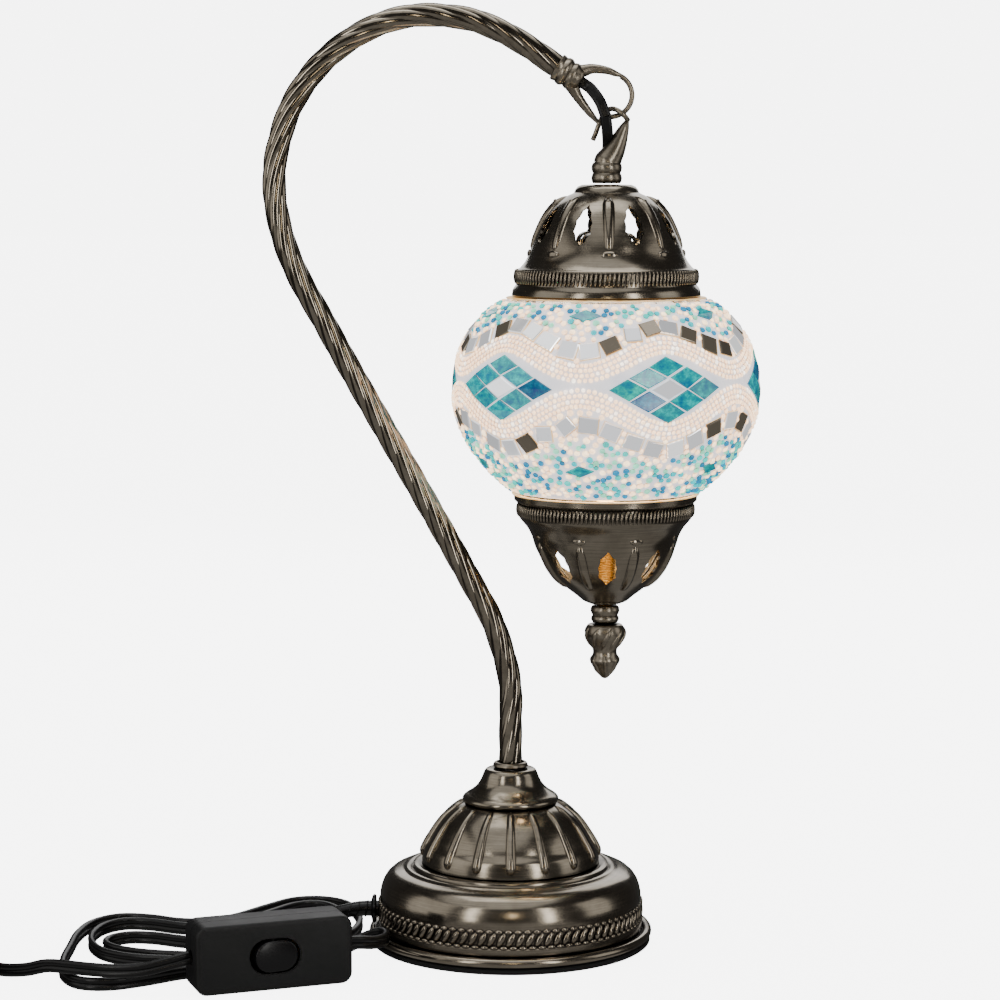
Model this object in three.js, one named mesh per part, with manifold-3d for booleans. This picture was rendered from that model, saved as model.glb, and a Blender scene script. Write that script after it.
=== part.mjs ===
// Swan-neck table lamp with a hanging mosaic glass shade.
// Millimetres, +Z up. Origin: centre of the base pad's underside. The arm leans to -X and the shade hangs at +X.
import * as THREE from 'three';
import { mergeVertices } from 'three/addons/utils/BufferGeometryUtils.js';
import Module from 'manifold-3d';

const wasm = await Module();
wasm.setup();

// ---- driving dimensions ----
const GAP = 0.3;              // clearance between touching pieces
const SHEET = 1.1;            // thickness of the spun sheet metal
const ROUND = 24;             // sides of a turned shell
const ROUND_SMALL = 16;       // sides of a small turned piece

const PAD_RADIUS = 55.2;
const PAD_HEIGHT = 2;
const RIM_RADIUS = 53.9;      // centre line of the rolled rim
const RIM_BEAD = 1.9;
const DRUM_RADIUS = 52;
const SKIRT_BOTTOM = 6;
const RIB_COUNT = 16;         // ribs round the dome
const CUP_TOP = 68.7;
const ROD_RADIUS = 4.9;       // M10 threaded tube
const ROD_BORE = 3.3;

const ARM_RADIUS = 4.65;      // over the strands of the twisted tube
const ARM_BORE = 2.7;
const ARM_LOBES = 6;
const ARM_PITCH = 74;         // length of one full turn of the twist
const ARM_START = 70.2;

const SHADE_X = 37;           // axis of the hanging shade
const RING = { x: 38.4, z: 331.5, radius: 8.2, wire: 1.1 };
const PIERCINGS = 8;          // openings round each cap

const CORD_RADIUS = 2.5;
const CORD_SIDES = 8;
const GROMMET_Z = 12.2;
const SWITCH = { x: -90.5, y: -66.8, length: 60, depth: 18, height: 26, yaw: 0.345 };
const COIL = { x: -231.8, y: -71, radius: 30, band: 10.8, low: 1.3, high: 11.9 };

// ---- finishes ----
const finish = (color, metalness, roughness) => new THREE.MeshStandardMaterial({ color, metalness, roughness });
const bronze = finish(0x6e6353, 0.95, 0.32);
const castBronze = finish(0x6a5f50, 0.9, 0.45);
const steel = finish(0x9a9a9c, 0.9, 0.4);
const iron = finish(0x3a3a3c, 0.7, 0.7);
const brass = finish(0xb08d4a, 0.95, 0.35);
const foam = finish(0x111112, 0, 0.95);
const blackPlastic = finish(0x17171a, 0, 0.5);
const blackFlex = finish(0x0e0e10, 0, 0.45);
const whitePlastic = finish(0xe8e4dc, 0, 0.5);
const clearGlass = finish(0xf4f6f8, 0, 0.1);
const litGlass = finish(0xfff1d6, 0, 0.3);
const mosaicGlass = finish(0xd9e6e6, 0, 0.3);

const lamp = new THREE.Group();
const shade = new THREE.Group();
shade.position.x = SHADE_X;
lamp.add(shade);

// ---- helpers ----
// One closed surface: shared corners merged, empty triangles dropped, faces turned outwards.
function closed(geometry) {
  const bare = new THREE.BufferGeometry();
  bare.setAttribute('position', geometry.getAttribute('position'));
  if (geometry.index) bare.setIndex(geometry.index);
  const merged = mergeVertices(bare, 1e-4);
  const corners = merged.index.array;
  const p = merged.getAttribute('position');
  const kept = [];
  let volume = 0;
  for (let i = 0; i < corners.length; i += 3) {
    const [a, b, c] = [corners[i], corners[i + 1], corners[i + 2]];
    if (a === b || b === c || c === a) continue;
    kept.push(a, b, c);
    const [u, v, w] = [a, b, c].map((k) => new THREE.Vector3().fromBufferAttribute(p, k));
    volume += u.dot(v.cross(w));
  }
  merged.setIndex(volume < 0 ? kept.reverse() : kept);
  return merged;
}

function toSolid(geometry) {
  const shape = closed(geometry);
  const vertProperties = new Float32Array(shape.getAttribute('position').array);
  const triVerts = new Uint32Array(shape.index.array);
  return new wasm.Manifold(new wasm.Mesh({ numProp: 3, vertProperties, triVerts }));
}

function toGeometry(solid) {
  const mesh = solid.getMesh();
  const geometry = new THREE.BufferGeometry();
  geometry.setAttribute('position', new THREE.BufferAttribute(new Float32Array(mesh.vertProperties), 3));
  geometry.setIndex([...mesh.triVerts]);
  return geometry;
}

function cut(geometry, ...tools) {
  return toGeometry(tools.reduce((solid, tool) => solid.subtract(toSolid(tool)), toSolid(geometry)));
}

function join(geometry, ...others) {
  return toGeometry(others.reduce((solid, other) => solid.add(toSolid(other)), toSolid(geometry)));
}

function piece(name, geometry, material, parent = lamp) {
  const shape = closed(geometry);
  shape.computeVertexNormals();
  const mesh = new THREE.Mesh(shape, material);
  mesh.name = name;
  parent.add(mesh);
  return mesh;
}

// A turned solid about +Z from [radius, z] points; the outline closes on itself or on the axis.
function turned(points, sides = ROUND) {
  const outline = points.map(([r, z]) => new THREE.Vector2(r, z));
  if (points[0][0] > 0) outline.push(outline[0].clone());
  return new THREE.LatheGeometry(outline, sides).rotateX(Math.PI / 2);
}

function smooth(points, count) {
  const curve = new THREE.SplineCurve(points.map(([r, z]) => new THREE.Vector2(r, z)));
  return curve.getPoints(count).map((p) => [p.x, p.y]);
}

// A sheet of even thickness inside an open outline of [radius, z] points that runs from bottom to top.
function sheet(outer, thickness = SHEET) {
  const inner = outer.map(([r, z], i) => {
    const [r0, z0] = outer[Math.max(i - 1, 0)];
    const [r1, z1] = outer[Math.min(i + 1, outer.length - 1)];
    const run = Math.hypot(r1 - r0, z1 - z0);
    return [r - (thickness * (z1 - z0)) / run, z + (thickness * (r1 - r0)) / run];
  });
  return [...outer, ...inner.reverse()];
}

function circle(radius, sides) {
  const shape = new THREE.Shape();
  for (let i = 0; i < sides; i += 1) {
    const a = (2 * Math.PI * i) / sides;
    shape[i ? 'lineTo' : 'moveTo'](radius * Math.cos(a), radius * Math.sin(a));
  }
  return shape;
}

// A bar of the given section bent along a curve in the XZ plane, with an optional twist and taper.
function bent(section, curve, steps, { twist = 0, size = () => 1 } = {}) {
  const bar = new THREE.ExtrudeGeometry(section, { depth: 1, steps, bevelEnabled: false });
  const p = bar.getAttribute('position');
  for (let i = 0; i < p.count; i += 1) {
    const t = p.getZ(i);
    const at = curve.getPointAt(t);
    const along = curve.getTangentAt(t);
    const side = new THREE.Vector3(along.z, 0, -along.x);
    const turn = twist * t;
    const k = size(t);
    const u = k * (p.getX(i) * Math.cos(turn) - p.getY(i) * Math.sin(turn));
    const v = k * (p.getX(i) * Math.sin(turn) + p.getY(i) * Math.cos(turn));
    p.setXYZ(i, at.x + side.x * u, at.y + v, at.z + side.z * u);
  }
  return bar;
}

const inPlane = (points) => new THREE.CatmullRomCurve3(points.map(([x, z]) => new THREE.Vector3(x, 0, z)));
const throughPoints = (points) => new THREE.CatmullRomCurve3(points.map((p) => new THREE.Vector3(...p)));

// A cord or wire: a plain round section along a free curve.
function wire(points, radius, steps, sides = CORD_SIDES) {
  return new THREE.ExtrudeGeometry(circle(radius, sides), { extrudePath: throughPoints(points), steps });
}

// An outline pushed outwards from the axis: drawn upright, at an angle round the axis.
function radialCutter(shape, angle, height, near, far) {
  const cutter = new THREE.ExtrudeGeometry(shape, { depth: far - near, bevelEnabled: false });
  const out = new THREE.Vector3(Math.cos(angle), Math.sin(angle), 0);
  const across = new THREE.Vector3(-Math.sin(angle), Math.cos(angle), 0);
  const place = new THREE.Matrix4().makeBasis(across, new THREE.Vector3(0, 0, 1), out);
  cutter.applyMatrix4(place.setPosition(out.x * near, out.y * near, height));
  return cutter;
}

const box = (w, d, h, x, y, z) => new THREE.BoxGeometry(w, d, h).translate(x, y, z);
const postZ = (r, low, high, sides = ROUND_SMALL) => (
  new THREE.CylinderGeometry(r, r, high - low, sides).rotateX(Math.PI / 2).translate(0, 0, (low + high) / 2));
const postX = (r, from, to, z, sides = 16) => (
  new THREE.CylinderGeometry(r, r, to - from, sides).rotateZ(Math.PI / 2).translate((from + to) / 2, 0, z));
const ring = (inner, outer, low, high, sides = ROUND_SMALL) => (
  turned([[inner, low], [outer, low], [outer, high], [inner, high]], sides));
const hexNut = (across, bore, low, high) => cut(postZ(across / Math.sqrt(3), low, high, 6), postZ(bore, low - 1, high + 1));

// ---- base ----
function addBase() {
  piece('base_pad', turned([
    [0, 0], [PAD_RADIUS - 0.5, 0], [PAD_RADIUS, 0.5], [PAD_RADIUS, PAD_HEIGHT - 0.3],
    [PAD_RADIUS - 0.3, PAD_HEIGHT], [0, PAD_HEIGHT],
  ]), foam);

  const plateLow = PAD_HEIGHT + GAP;
  const rimZ = plateLow + RIM_BEAD;
  const rim = [];
  for (let i = 0; i <= 8; i += 1) {
    const a = (-150 + i * 37.5) * (Math.PI / 180);
    rim.push([RIM_RADIUS + RIM_BEAD * Math.cos(a), rimZ + RIM_BEAD * Math.sin(a)]);
  }
  piece('base_plate', turned([[16, plateLow + 0.6], ...rim, [51.4, plateLow + 1.7], [16, plateLow + 1.7]]), bronze);

  const weightLow = 4.5;
  const weightHigh = 19;
  const nutRoom = 10;
  piece('base_weight', cut(turned([
    [ROD_RADIUS + GAP, nutRoom], [13.5, nutRoom], [13.5, weightLow], [46, weightLow], [47, weightLow + 1],
    [47, weightHigh - 2], [45, weightHigh], [ROD_RADIUS + GAP, weightHigh],
  ]), box(38, 6, 14, -38, 0, 15.5)), iron);

  const skirt = [
    [DRUM_RADIUS - 0.4, SKIRT_BOTTOM], [DRUM_RADIUS, 7], [DRUM_RADIUS, 9.4], [DRUM_RADIUS + 0.5, 10.4],
    [DRUM_RADIUS + 0.6, 14.6], [DRUM_RADIUS - 0.4, 15.8], ...smooth([[51.5, 17.6], [51.1, 21.4], [49.8, 25],
      [47.4, 27.4], [43.6, 28.8], [39.6, 29.9], [36.4, 31.2]], 5),
  ];
  const flexHole = postX(3.4, -60, -45, GROMMET_Z);
  piece('base_drum', cut(turned(sheet([...skirt, [34.8, 31.5], [31, 31.6]])), flexHole), bronze);

  const dome = turned(sheet(smooth([[35, 32.3], [34.2, 37.2], [32.2, 41.2], [29.3, 45.6], [24.6, 51],
    [20.2, 54.3], [15.6, 56.4]], 6)), RIB_COUNT * 3);
  const p = dome.getAttribute('position');
  for (let i = 0; i < p.count; i += 1) {
    const [x, y, z] = [p.getX(i), p.getY(i), p.getZ(i)];
    const onRib = Math.cos(RIB_COUNT * (Math.atan2(y, x) + Math.PI / 2)) > 0.5 && z > 34 && z < 55;
    const lift = onRib ? 1 + 0.7 / Math.hypot(x, y) : 1;
    p.setXY(i, x * lift, y * lift);
  }
  piece('base_dome', dome, bronze);

  const cup = smooth([[18.6, 55.9], [18.7, 57.2], [17.2, 58.8], [13.8, 61.3], [11.6, 64], [10.2, 66.8], [9.4, CUP_TOP]], 6);
  piece('base_cup', turned([...sheet([...cup, [ROD_RADIUS + GAP + 0.1, CUP_TOP + 0.1]])]), bronze);
  piece('arm_seat_ring', turned([
    [5.3, CUP_TOP + 0.5], [6.4, CUP_TOP + 0.5], [6.8, CUP_TOP + 1.2], [6.4, CUP_TOP + 2.2], [5.3, CUP_TOP + 2.6],
  ], 24), castBronze);

  const slot = box(8, 5, 14, -4, 0, 26);
  piece('base_rod', cut(ring(ROD_BORE, ROD_RADIUS, 2.9, ARM_START - GAP), slot), steel);
  piece('base_nut', hexNut(14, ROD_RADIUS + GAP, 3.3, 7.4), steel);
  piece('base_washer', ring(ROD_RADIUS + GAP, 12.5, 7.7, nutRoom - GAP), steel);
}

// ---- where the lead leaves the base ----
const reliefCurve = new THREE.QuadraticBezierCurve3(
  new THREE.Vector3(-54.9, 0, GROMMET_Z), new THREE.Vector3(-66, 0, GROMMET_Z), new THREE.Vector3(-75, 0, 7.5));

function addGland() {
  const drumFace = -DRUM_RADIUS - 0.6;
  const bush = turned([
    [2, -4.6], [4.2, -4.6], [4.2, -2.9], [3.1, -2.9], [3.1, 0.5], [5.4, 0.5], [5.7, 1.1], [5.4, 1.8], [2, 2],
  ], ROUND_SMALL).rotateY(-Math.PI / 2).translate(drumFace, 0, GROMMET_Z);
  piece('grommet', bush, blackPlastic);
  piece('strain_relief', bent(circle(1, 12), reliefCurve, 6, { size: (t) => 3.1 - 0.5 * t }), blackPlastic);
}

// ---- arm ----
const armPoints = [
  [0, ARM_START], [0, 86], [0, 100], [-2.1, 112], [-7.3, 127.6], [-15.7, 143.4], [-33.2, 175], [-59.9, 221.9],
  [-72.7, 245.1], [-81.4, 260.6], [-87.2, 274.5], [-90.6, 289], [-91.2, 301], [-89.6, 312], [-84.6, 327],
  [-75.6, 340.6], [-64.2, 351], [-50, 358.7], [-34.8, 362], [-17.6, 360.8], [-6.1, 357], [5.5, 350.8], [18.2, 342.2],
];
const HEAD = { x: 19.2, z: 341.5, tilt: (32 * Math.PI) / 180 };   // start and dip of the cast end

function addArm() {
  const curve = inPlane(armPoints);
  const section = new THREE.Shape();
  const points = ARM_LOBES * 2;
  for (let i = 0; i < points; i += 1) {
    const a = (2 * Math.PI * i) / points;
    const r = i % 2 ? ARM_RADIUS : ARM_RADIUS - 0.5;
    section[i ? 'lineTo' : 'moveTo'](r * Math.cos(a), r * Math.sin(a));
  }
  section.holes.push(circle(ARM_BORE, 5));
  const turns = curve.getLength() / ARM_PITCH;
  piece('arm', bent(section, curve, 80, { twist: 2 * Math.PI * turns }), bronze);

  // The lead from the gland, through the rod's side slot, up the rod and arm to the mouth.
  const inside = [[-47.3, GROMMET_Z], [-38, 13.4], [-26, 19.5], [-14, 23], [-5, 24.8], [-0.8, 30], [0, 40], [0, 60]];
  const mouth = [[HEAD.x, HEAD.z], [HEAD.x + 8.6, HEAD.z - 5.5]];
  piece('arm_lead', bent(circle(1.45, 6), inPlane([...inside, ...armPoints.slice(1, -1), ...mouth]), 40), blackFlex);
}

function addArmHead() {
  const sleeve = turned([
    [0, 0], [4.9, 0], [5.5, 1], [5.6, 2.4], [4.8, 3.6], [5.3, 4.4], [5.3, 5.8], [4.6, 7], [4.2, 8.6], [3.4, 9], [0, 9],
  ], ROUND_SMALL).rotateY(Math.PI / 2 + HEAD.tilt).translate(HEAD.x, 0, HEAD.z);
  const upper = inPlane([[26.4, 340.6], [31.5, 341.6], [37, 340.7], [42.2, 338.9]]);
  const lower = inPlane([[23.9, 334.4], [26, 330.6], [29.4, 326], [33, 321.9]]);
  const claw = (curve) => bent(circle(1, 8), curve, 8, { size: (t) => 2.2 - 1.2 * t });
  const bore = postX(3, -3, 14, 0, 12).rotateY(HEAD.tilt).translate(HEAD.x, 0, HEAD.z);
  piece('arm_head', cut(join(sleeve, claw(upper), claw(lower)), bore), castBronze);

  const arc = [];
  for (let angle = -118; angle <= 50; angle += 21) {
    const a = (angle * Math.PI) / 180;
    arc.push([RING.x + RING.radius * Math.cos(a), RING.z + RING.radius * Math.sin(a)]);
  }
  piece('hanging_ring', bent(circle(RING.wire, 8), inPlane(arc), 16), castBronze);
}

// ---- what hangs in the ring ----
function addHook() {
  const hook = [
    [45, -0.6, 322], [44.2, -2.2, 323], [42.8, -2.9, 324.4], [40.6, -2.2, 325.9], [38.4, 0, 326.3],
    [36.2, 2.4, 324.9], [34.4, 3.6, 321.4], [32.8, 3.6, 317], [31.7, 3.2, 314.4],
  ];
  piece('shade_hook', wire(hook, RING.wire, 18), castBronze);

  const collar = turned([
    [2.4, 297.7], [5.6, 297.7], [5.9, 299.4], [5.4, 302], [5.9, 303], [5.9, 305.4], [5.3, 307], [2.4, 307],
  ], ROUND_SMALL).translate(SHADE_X, 0, 0);
  const hornCurve = inPlane([[39.2, 305.8], [40.2, 309.5], [42, 314], [43.8, 318], [44.8, 320.5]]);
  const horn = bent(circle(1, 10), hornCurve, 8, { size: (t) => 4.6 - 3.5 * t });
  const flex = [
    [29, -0.2, 335.3], [31, -1.4, 333.6], [34.2, -3.9, 329], [36.4, -4.8, 323.4], [37, -3.5, 318],
    [37.4, -0.3, 313.4], [37.3, 1.2, 309.6], [37, 0.5, 305.4], [37, 0, 301],
  ];
  const flexWay = postZ(2.4, 297, 308, 12).translate(SHADE_X, 0, 0);
  piece('shade_claw', cut(join(collar, horn), flexWay, wire(flex, 2.1, 16)), castBronze);
  piece('lead_flex', wire(flex, 1.6, 16), blackFlex);
}

// ---- caps and gallery ----
const FRONT = -Math.PI / 2;

function addTopCap() {
  const outer = smooth([[35.4, 258.4], [35.7, 261], [33.3, 265.3], [29.9, 271], [27.8, 276.8], [24.6, 283.4],
    [20.4, 289], [14.2, 294]], 6);
  const shell = turned(sheet([[36.5, 254.3], [36.4, 256], ...outer, [ROD_RADIUS + 2 * GAP + 0.2, 297]]));
  const leaf = new THREE.Shape([[0, -7.6], [3.4, -3], [3, 4.4], [0, 7.6], [-3, 4.4], [-3.4, -3]]
    .map(([x, y]) => new THREE.Vector2(x, y)));
  const cutters = [];
  for (let i = 0; i < PIERCINGS; i += 1) {
    cutters.push(radialCutter(leaf, FRONT + ((i + 0.5) * 2 * Math.PI) / PIERCINGS, 282, 12, 40));
  }
  piece('top_cap', cut(shell, ...cutters), bronze, shade);
  piece('top_tube', ring(ROD_BORE, ROD_RADIUS, 264, 297.4), steel, shade);
  piece('top_nut', hexNut(14, ROD_RADIUS + GAP, 289.6, 293), steel, shade);
}

// The strap loop that carries the holder above and the long threaded tube below.
function addGallery() {
  const outline = (halfWidth, low, high, corner) => {
    const shape = new THREE.Shape();
    shape.moveTo(-halfWidth + corner, low);
    shape.lineTo(halfWidth - corner, low);
    shape.quadraticCurveTo(halfWidth, low, halfWidth, low + corner);
    shape.lineTo(halfWidth, high - corner);
    shape.quadraticCurveTo(halfWidth, high, halfWidth - corner, high);
    shape.lineTo(-halfWidth + corner, high);
    shape.quadraticCurveTo(-halfWidth, high, -halfWidth, high - corner);
    shape.lineTo(-halfWidth, low + corner);
    shape.quadraticCurveTo(-halfWidth, low, -halfWidth + corner, low);
    return shape;
  };
  const strap = outline(28.5, 164, 271, 8);
  strap.holes.push(outline(26.9, 165.6, 269.4, 6.6));
  const loop = new THREE.ExtrudeGeometry(strap, { depth: 16, bevelEnabled: false, curveSegments: 5 })
    .rotateX(Math.PI / 2).translate(0, 8, 0);
  piece('gallery_strap', cut(loop, postZ(ROD_RADIUS + GAP, 150, 280)), steel, shade);
  piece('gallery_nut', hexNut(14, ROD_RADIUS + GAP, 271.3, 274.5), steel, shade);

  piece('lamp_holder', turned([
    [ROD_RADIUS + GAP, 268.9], [10, 268.9], [13.4, 264], [13.6, 247], [12.6, 238], [7.7, 238], [7.7, 260],
    [ROD_RADIUS + GAP, 262],
  ], 24), whitePlastic, shade);
  piece('holder_contact', turned([[0, 258], [2.4, 258], [3.4, 259.4], [3.4, 261.6], [0, 261.6]], 12), brass, shade);
  piece('bulb_cap', turned([[0, 257.6], [2.4, 257.6], [4, 256], [7, 254.4], [7, 236.4], [0, 236.4]], ROUND_SMALL), steel, shade);
  piece('bulb_glass', turned([[0, 236.1], ...smooth([[6.6, 236.1], [9.4, 231], [17, 222], [21.9, 209], [19.8, 196],
    [11.5, 187.6]], 8), [0, 185.6]], 24), litGlass, shade);
}

// ---- glass ----
const globeOutline = smooth([
  [36.4, 177.8], [44.1, 184.4], [52.2, 193.8], [57.4, 203.1], [60, 212.5], [60.1, 222], [58.6, 231.2],
  [54.3, 240.5], [46.6, 249.2], [39.4, 253.9],
], 9);

function addGlobe() {
  const mosaicDepth = 1.8;
  piece('mosaic_layer', turned(sheet(globeOutline, mosaicDepth)), mosaicGlass, shade);
  const wall = mosaicDepth + GAP;
  const body = sheet(globeOutline, wall).slice(globeOutline.length).reverse();
  piece('glass_globe', turned(sheet([[33.6, 175.4], ...body, [34, 253.9]], 1.7)), clearGlass, shade);
}

// ---- lower cap and finial ----
function addBottomCap() {
  const outer = smooth([[6, 134.4], [13.5, 139.5], [18.6, 143.4], [22.4, 147.4], [25.8, 153.3], [27.9, 159.2],
    [30.6, 164.6], [33.9, 168.4]], 6);
  const shell = turned(sheet([...outer, [34.6, 171], [35.4, 175]]));
  const hexagon = new THREE.Shape([[0, -6.8], [2.8, -3.8], [3.4, 3], [0, 6.8], [-3.4, 3], [-2.8, -3.8]]
    .map(([x, y]) => new THREE.Vector2(x, y)));
  const cutters = [];
  for (let i = 0; i < PIERCINGS; i += 1) {
    cutters.push(radialCutter(hexagon, FRONT + (i * 2 * Math.PI) / PIERCINGS, 151, 12, 40));
  }
  piece('bottom_cap', cut(shell, ...cutters), bronze, shade);
  piece('bottom_tube', ring(ROD_BORE, ROD_RADIUS, 134, 176), brass, shade);
  piece('bottom_nut', hexNut(14, ROD_RADIUS + GAP, 165.9, 169.6), brass, shade);

  piece('finial_ferrule', turned([
    [0, 126.6], [4.8, 126.6], [5.5, 127.6], [5.3, 130], [5.7, 131.4], [5.4, 133.4], [0, 133.4],
  ], ROUND_SMALL), castBronze, shade);
  piece('finial', turned([[0, 126.2], [5.4, 126.2], ...smooth([[7, 125.4], [7.7, 122.6], [6.4, 119.4], [4.7, 115.8],
    [5.8, 111.8], [4.3, 109.2], [2.2, 105.8]], 9), [0, 104.5]], ROUND_SMALL), castBronze, shade);
}

// ---- switch on the lead ----
function roundedBox(width, height, corner) {
  const [w, h] = [width / 2, height / 2];
  const shape = new THREE.Shape();
  shape.moveTo(-w + corner, -h);
  shape.lineTo(w - corner, -h);
  shape.quadraticCurveTo(w, -h, w, -h + corner);
  shape.lineTo(w, h - corner);
  shape.quadraticCurveTo(w, h, w - corner, h);
  shape.lineTo(-w + corner, h);
  shape.quadraticCurveTo(-w, h, -w, h - corner);
  shape.lineTo(-w, -h + corner);
  shape.quadraticCurveTo(-w, -h, -w + corner, -h);
  return shape;
}

function pill(length, height) {
  const shape = new THREE.Shape();
  const r = height / 2;
  shape.absarc(length / 2 - r, 0, r, -Math.PI / 2, Math.PI / 2, false);
  shape.absarc(-length / 2 + r, 0, r, Math.PI / 2, (3 * Math.PI) / 2, false);
  return shape;
}

// An outline in the switch's own X and Z, pushed from one depth to another.
function slab(shape, front, back) {
  return new THREE.ExtrudeGeometry(shape, { depth: back - front, bevelEnabled: false, curveSegments: 4 })
    .rotateX(Math.PI / 2).translate(0, back, 0);
}

function addSwitch() {
  const group = new THREE.Group();
  group.position.set(SWITCH.x, SWITCH.y, SWITCH.height / 2);
  group.rotation.z = SWITCH.yaw;
  lamp.add(group);
  const { length, height } = SWITCH;
  const face = SWITCH.depth / 2;
  const wall = 1.7;
  const outside = roundedBox(length, height, 4.5);
  const inside = roundedBox(length - 2 * wall, height - 2 * wall, 3);
  const flexWay = postX(CORD_RADIUS + 0.4, -40, 40, 0, 12);
  const screwPlaces = [[-20, -7], [20, 7]];
  const screwHole = (x, z, r, from, to) => (
    new THREE.CylinderGeometry(r, r, to - from, 12).translate(x, (from + to) / 2, z));

  const frontShell = cut(slab(outside, -face, -0.15), slab(inside, -face + wall, 1), slab(pill(19, 12.7), -12, -4), flexWay);
  piece('switch_front', frontShell, blackPlastic, group);
  const holes = screwPlaces.flatMap(([x, z]) => [screwHole(x, z, 1.6, 0, 12), screwHole(x, z, 3, face - 0.9, 12)]);
  piece('switch_back', cut(slab(outside, 0.15, face), slab(inside, -1, face - wall), flexWay, ...holes), blackPlastic, group);
  screwPlaces.forEach(([x, z], i) => {
    const screw = join(screwHole(x, z, 1.2, -6, face - 0.5), screwHole(x, z, 2.6, face - 0.6, face));
    piece(`switch_screw_${i + 1}`, screw, steel, group);
  });

  const tilt = (6 * Math.PI) / 180;
  const pivot = -4.2;
  const button = cut(slab(pill(16.8, 11.6), -9.8 - pivot, -2.4 - pivot), postZ(1.5, -10, 10, 12)).rotateZ(tilt);
  piece('switch_rocker', button.translate(0, pivot, 0), blackPlastic, group);
  piece('switch_pin', postZ(1.2, -10.9, 10.9, 12).translate(0, pivot, 0), steel, group);
  piece('switch_spring', box(13, 1, 5, 0, 1.4, 0), brass, group);
  [-1, 1].forEach((side) => {
    const block = cut(box(6, 5, 9, side * 12, 3.4, 0), postX(1.3, side * 12 - 5, side * 12 + 5, 0, 8).translate(0, 3.4, 0));
    piece(`switch_terminal_${side < 0 ? 'left' : 'right'}`, block, brass, group);
  });
}

// ---- lead on the table ----
// From the gland: an inner loop, two outer loops behind the switch, then out to the rim and into the switch.
const lampSide = [
  [-75.9, 0, 7.2], [-81, -1, 5.4], [-88.5, -4.2, 3.6], [-97, -9.5, 2.8], [-107, -15.2, 2.7], [-118, -17.6, 2.7],
  [-129, -15.2, 2.7], [-140, -10, 2.7], [-150, -9, 2.7], [-156.8, -14.4, 2.7], [-157.4, -22.6, 2.7],
  [-151.5, -30.2, 2.7], [-141, -35.6, 2.7], [-128, -38.5, 2.7], [-113, -39.6, 2.7], [-99, -36.6, 2.7],
  [-87, -29.8, 2.7], [-77, -19.6, 2.7], [-69.6, -7, 2.7], [-66.4, 7, 2.7], [-67.6, 22, 2.7], [-72, 34.6, 2.7],
  [-79.6, 41, 2.7], [-88.6, 37.4, 2.7], [-97, 26, 2.7], [-107, 12.5, 2.7], [-119, 4.6, 2.7], [-131, 5.4, 2.7],
  [-143.6, 11.2, 2.7], [-154.4, 12.4, 2.7], [-162, 4.6, 2.7], [-164.6, -8, 2.7], [-162.8, -22, 2.7],
  [-156.4, -34.4, 2.7], [-145, -42.2, 2.7], [-129, -45.2, 2.7], [-112.6, -46.2, 2.7], [-96.6, -43, 2.7],
  [-82.6, -34.6, 2.7], [-71.4, -22, 2.7], [-63.8, -7.6, 2.7], [-60.4, 8, 2.7], [-61.6, 25, 2.7], [-66.8, 40, 2.7],
  [-77, 48, 2.7], [-89.4, 46, 2.7], [-100.4, 33, 2.7], [-110.4, 19.6, 2.7], [-121, 12, 2.7], [-132.6, 12, 2.7],
  [-145, 18, 2.7], [-157.6, 19.4, 2.7], [-167, 9.6, 2.7], [-170.6, -7, 2.7], [-170.8, -26, 2.7],
  [-170.6, -46, 2.7], [-168, -63, 2.7], [-160.6, -74.4, 2.7], [-149, -76.2, 2.7], [-136.6, -70, 2.7],
  [-124, -61, 2.7], [-110, -54.6, 2.7], [-96, -51, 2.7], [-82.6, -44.6, 2.7], [-72, -35.4, 2.8], [-64, -27.6, 3.6],
  [-57.4, -23.8, 6], [-51, -25, 8.4], [-48.2, -30.6, 9], [-48.6, -38, 9.4], [-52.2, -46.4, 10.6],
  [-57, -53, 12.4], [-61.6, -56.3, 13],
];
// From the switch to where the lead is put away.
const plugSide = [
  [-119.3, -77.2, 13], [-127, -79.6, 11.4], [-136, -80.4, 9.4], [-146, -79.4, 8.6], [-156, -76.6, 8.4],
  [-165, -72.6, 8.2], [-173.6, -67.8, 7.4], [-181.6, -62.8, 4.6], [-190, -57.6, 2.9], [-197.6, -53.2, 2.7],
];
const tail = [
  [-216.4, -36, 8.6], [-219, -31, 7.8], [-221.6, -24.6, 6.6], [-223.4, -17, 5.6], [-224, -9.4, 5.2],
];

function addLead() {
  piece('cord_lamp_side', wire(lampSide, CORD_RADIUS, 76), blackFlex);
  piece('cord_plug_side', wire(plugSide, CORD_RADIUS, 9), blackFlex);
  piece('cord_tail', wire(tail, CORD_RADIUS, 4), blackFlex);
  const half = COIL.band / 2;
  const coil = turned([
    [COIL.radius - half, COIL.low + 2], [COIL.radius - half + 2, COIL.low], [COIL.radius + half - 2, COIL.low],
    [COIL.radius + half, COIL.low + 2], [COIL.radius + half, COIL.high - 2], [COIL.radius + half - 2, COIL.high],
    [COIL.radius - half + 2, COIL.high], [COIL.radius - half, COIL.high - 2],
  ], 28).translate(COIL.x, COIL.y, 0);
  piece('cord_coil', coil, blackFlex);

  const tieWall = 0.9;
  const [tieWidth, tieHeight] = [COIL.band + 4 * GAP, COIL.high - COIL.low + 2 * GAP];
  const tie = roundedBox(tieWidth + 2 * tieWall, tieHeight + 2 * tieWall, 3);
  tie.holes.push(roundedBox(tieWidth, tieHeight, 2.2));
  piece('coil_tie', new THREE.ExtrudeGeometry(tie, { depth: 5, bevelEnabled: false, curveSegments: 3 })
    .rotateX(Math.PI / 2).translate(COIL.x - COIL.radius, COIL.y + 2.5, (COIL.low + COIL.high) / 2), blackPlastic);
}

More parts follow.
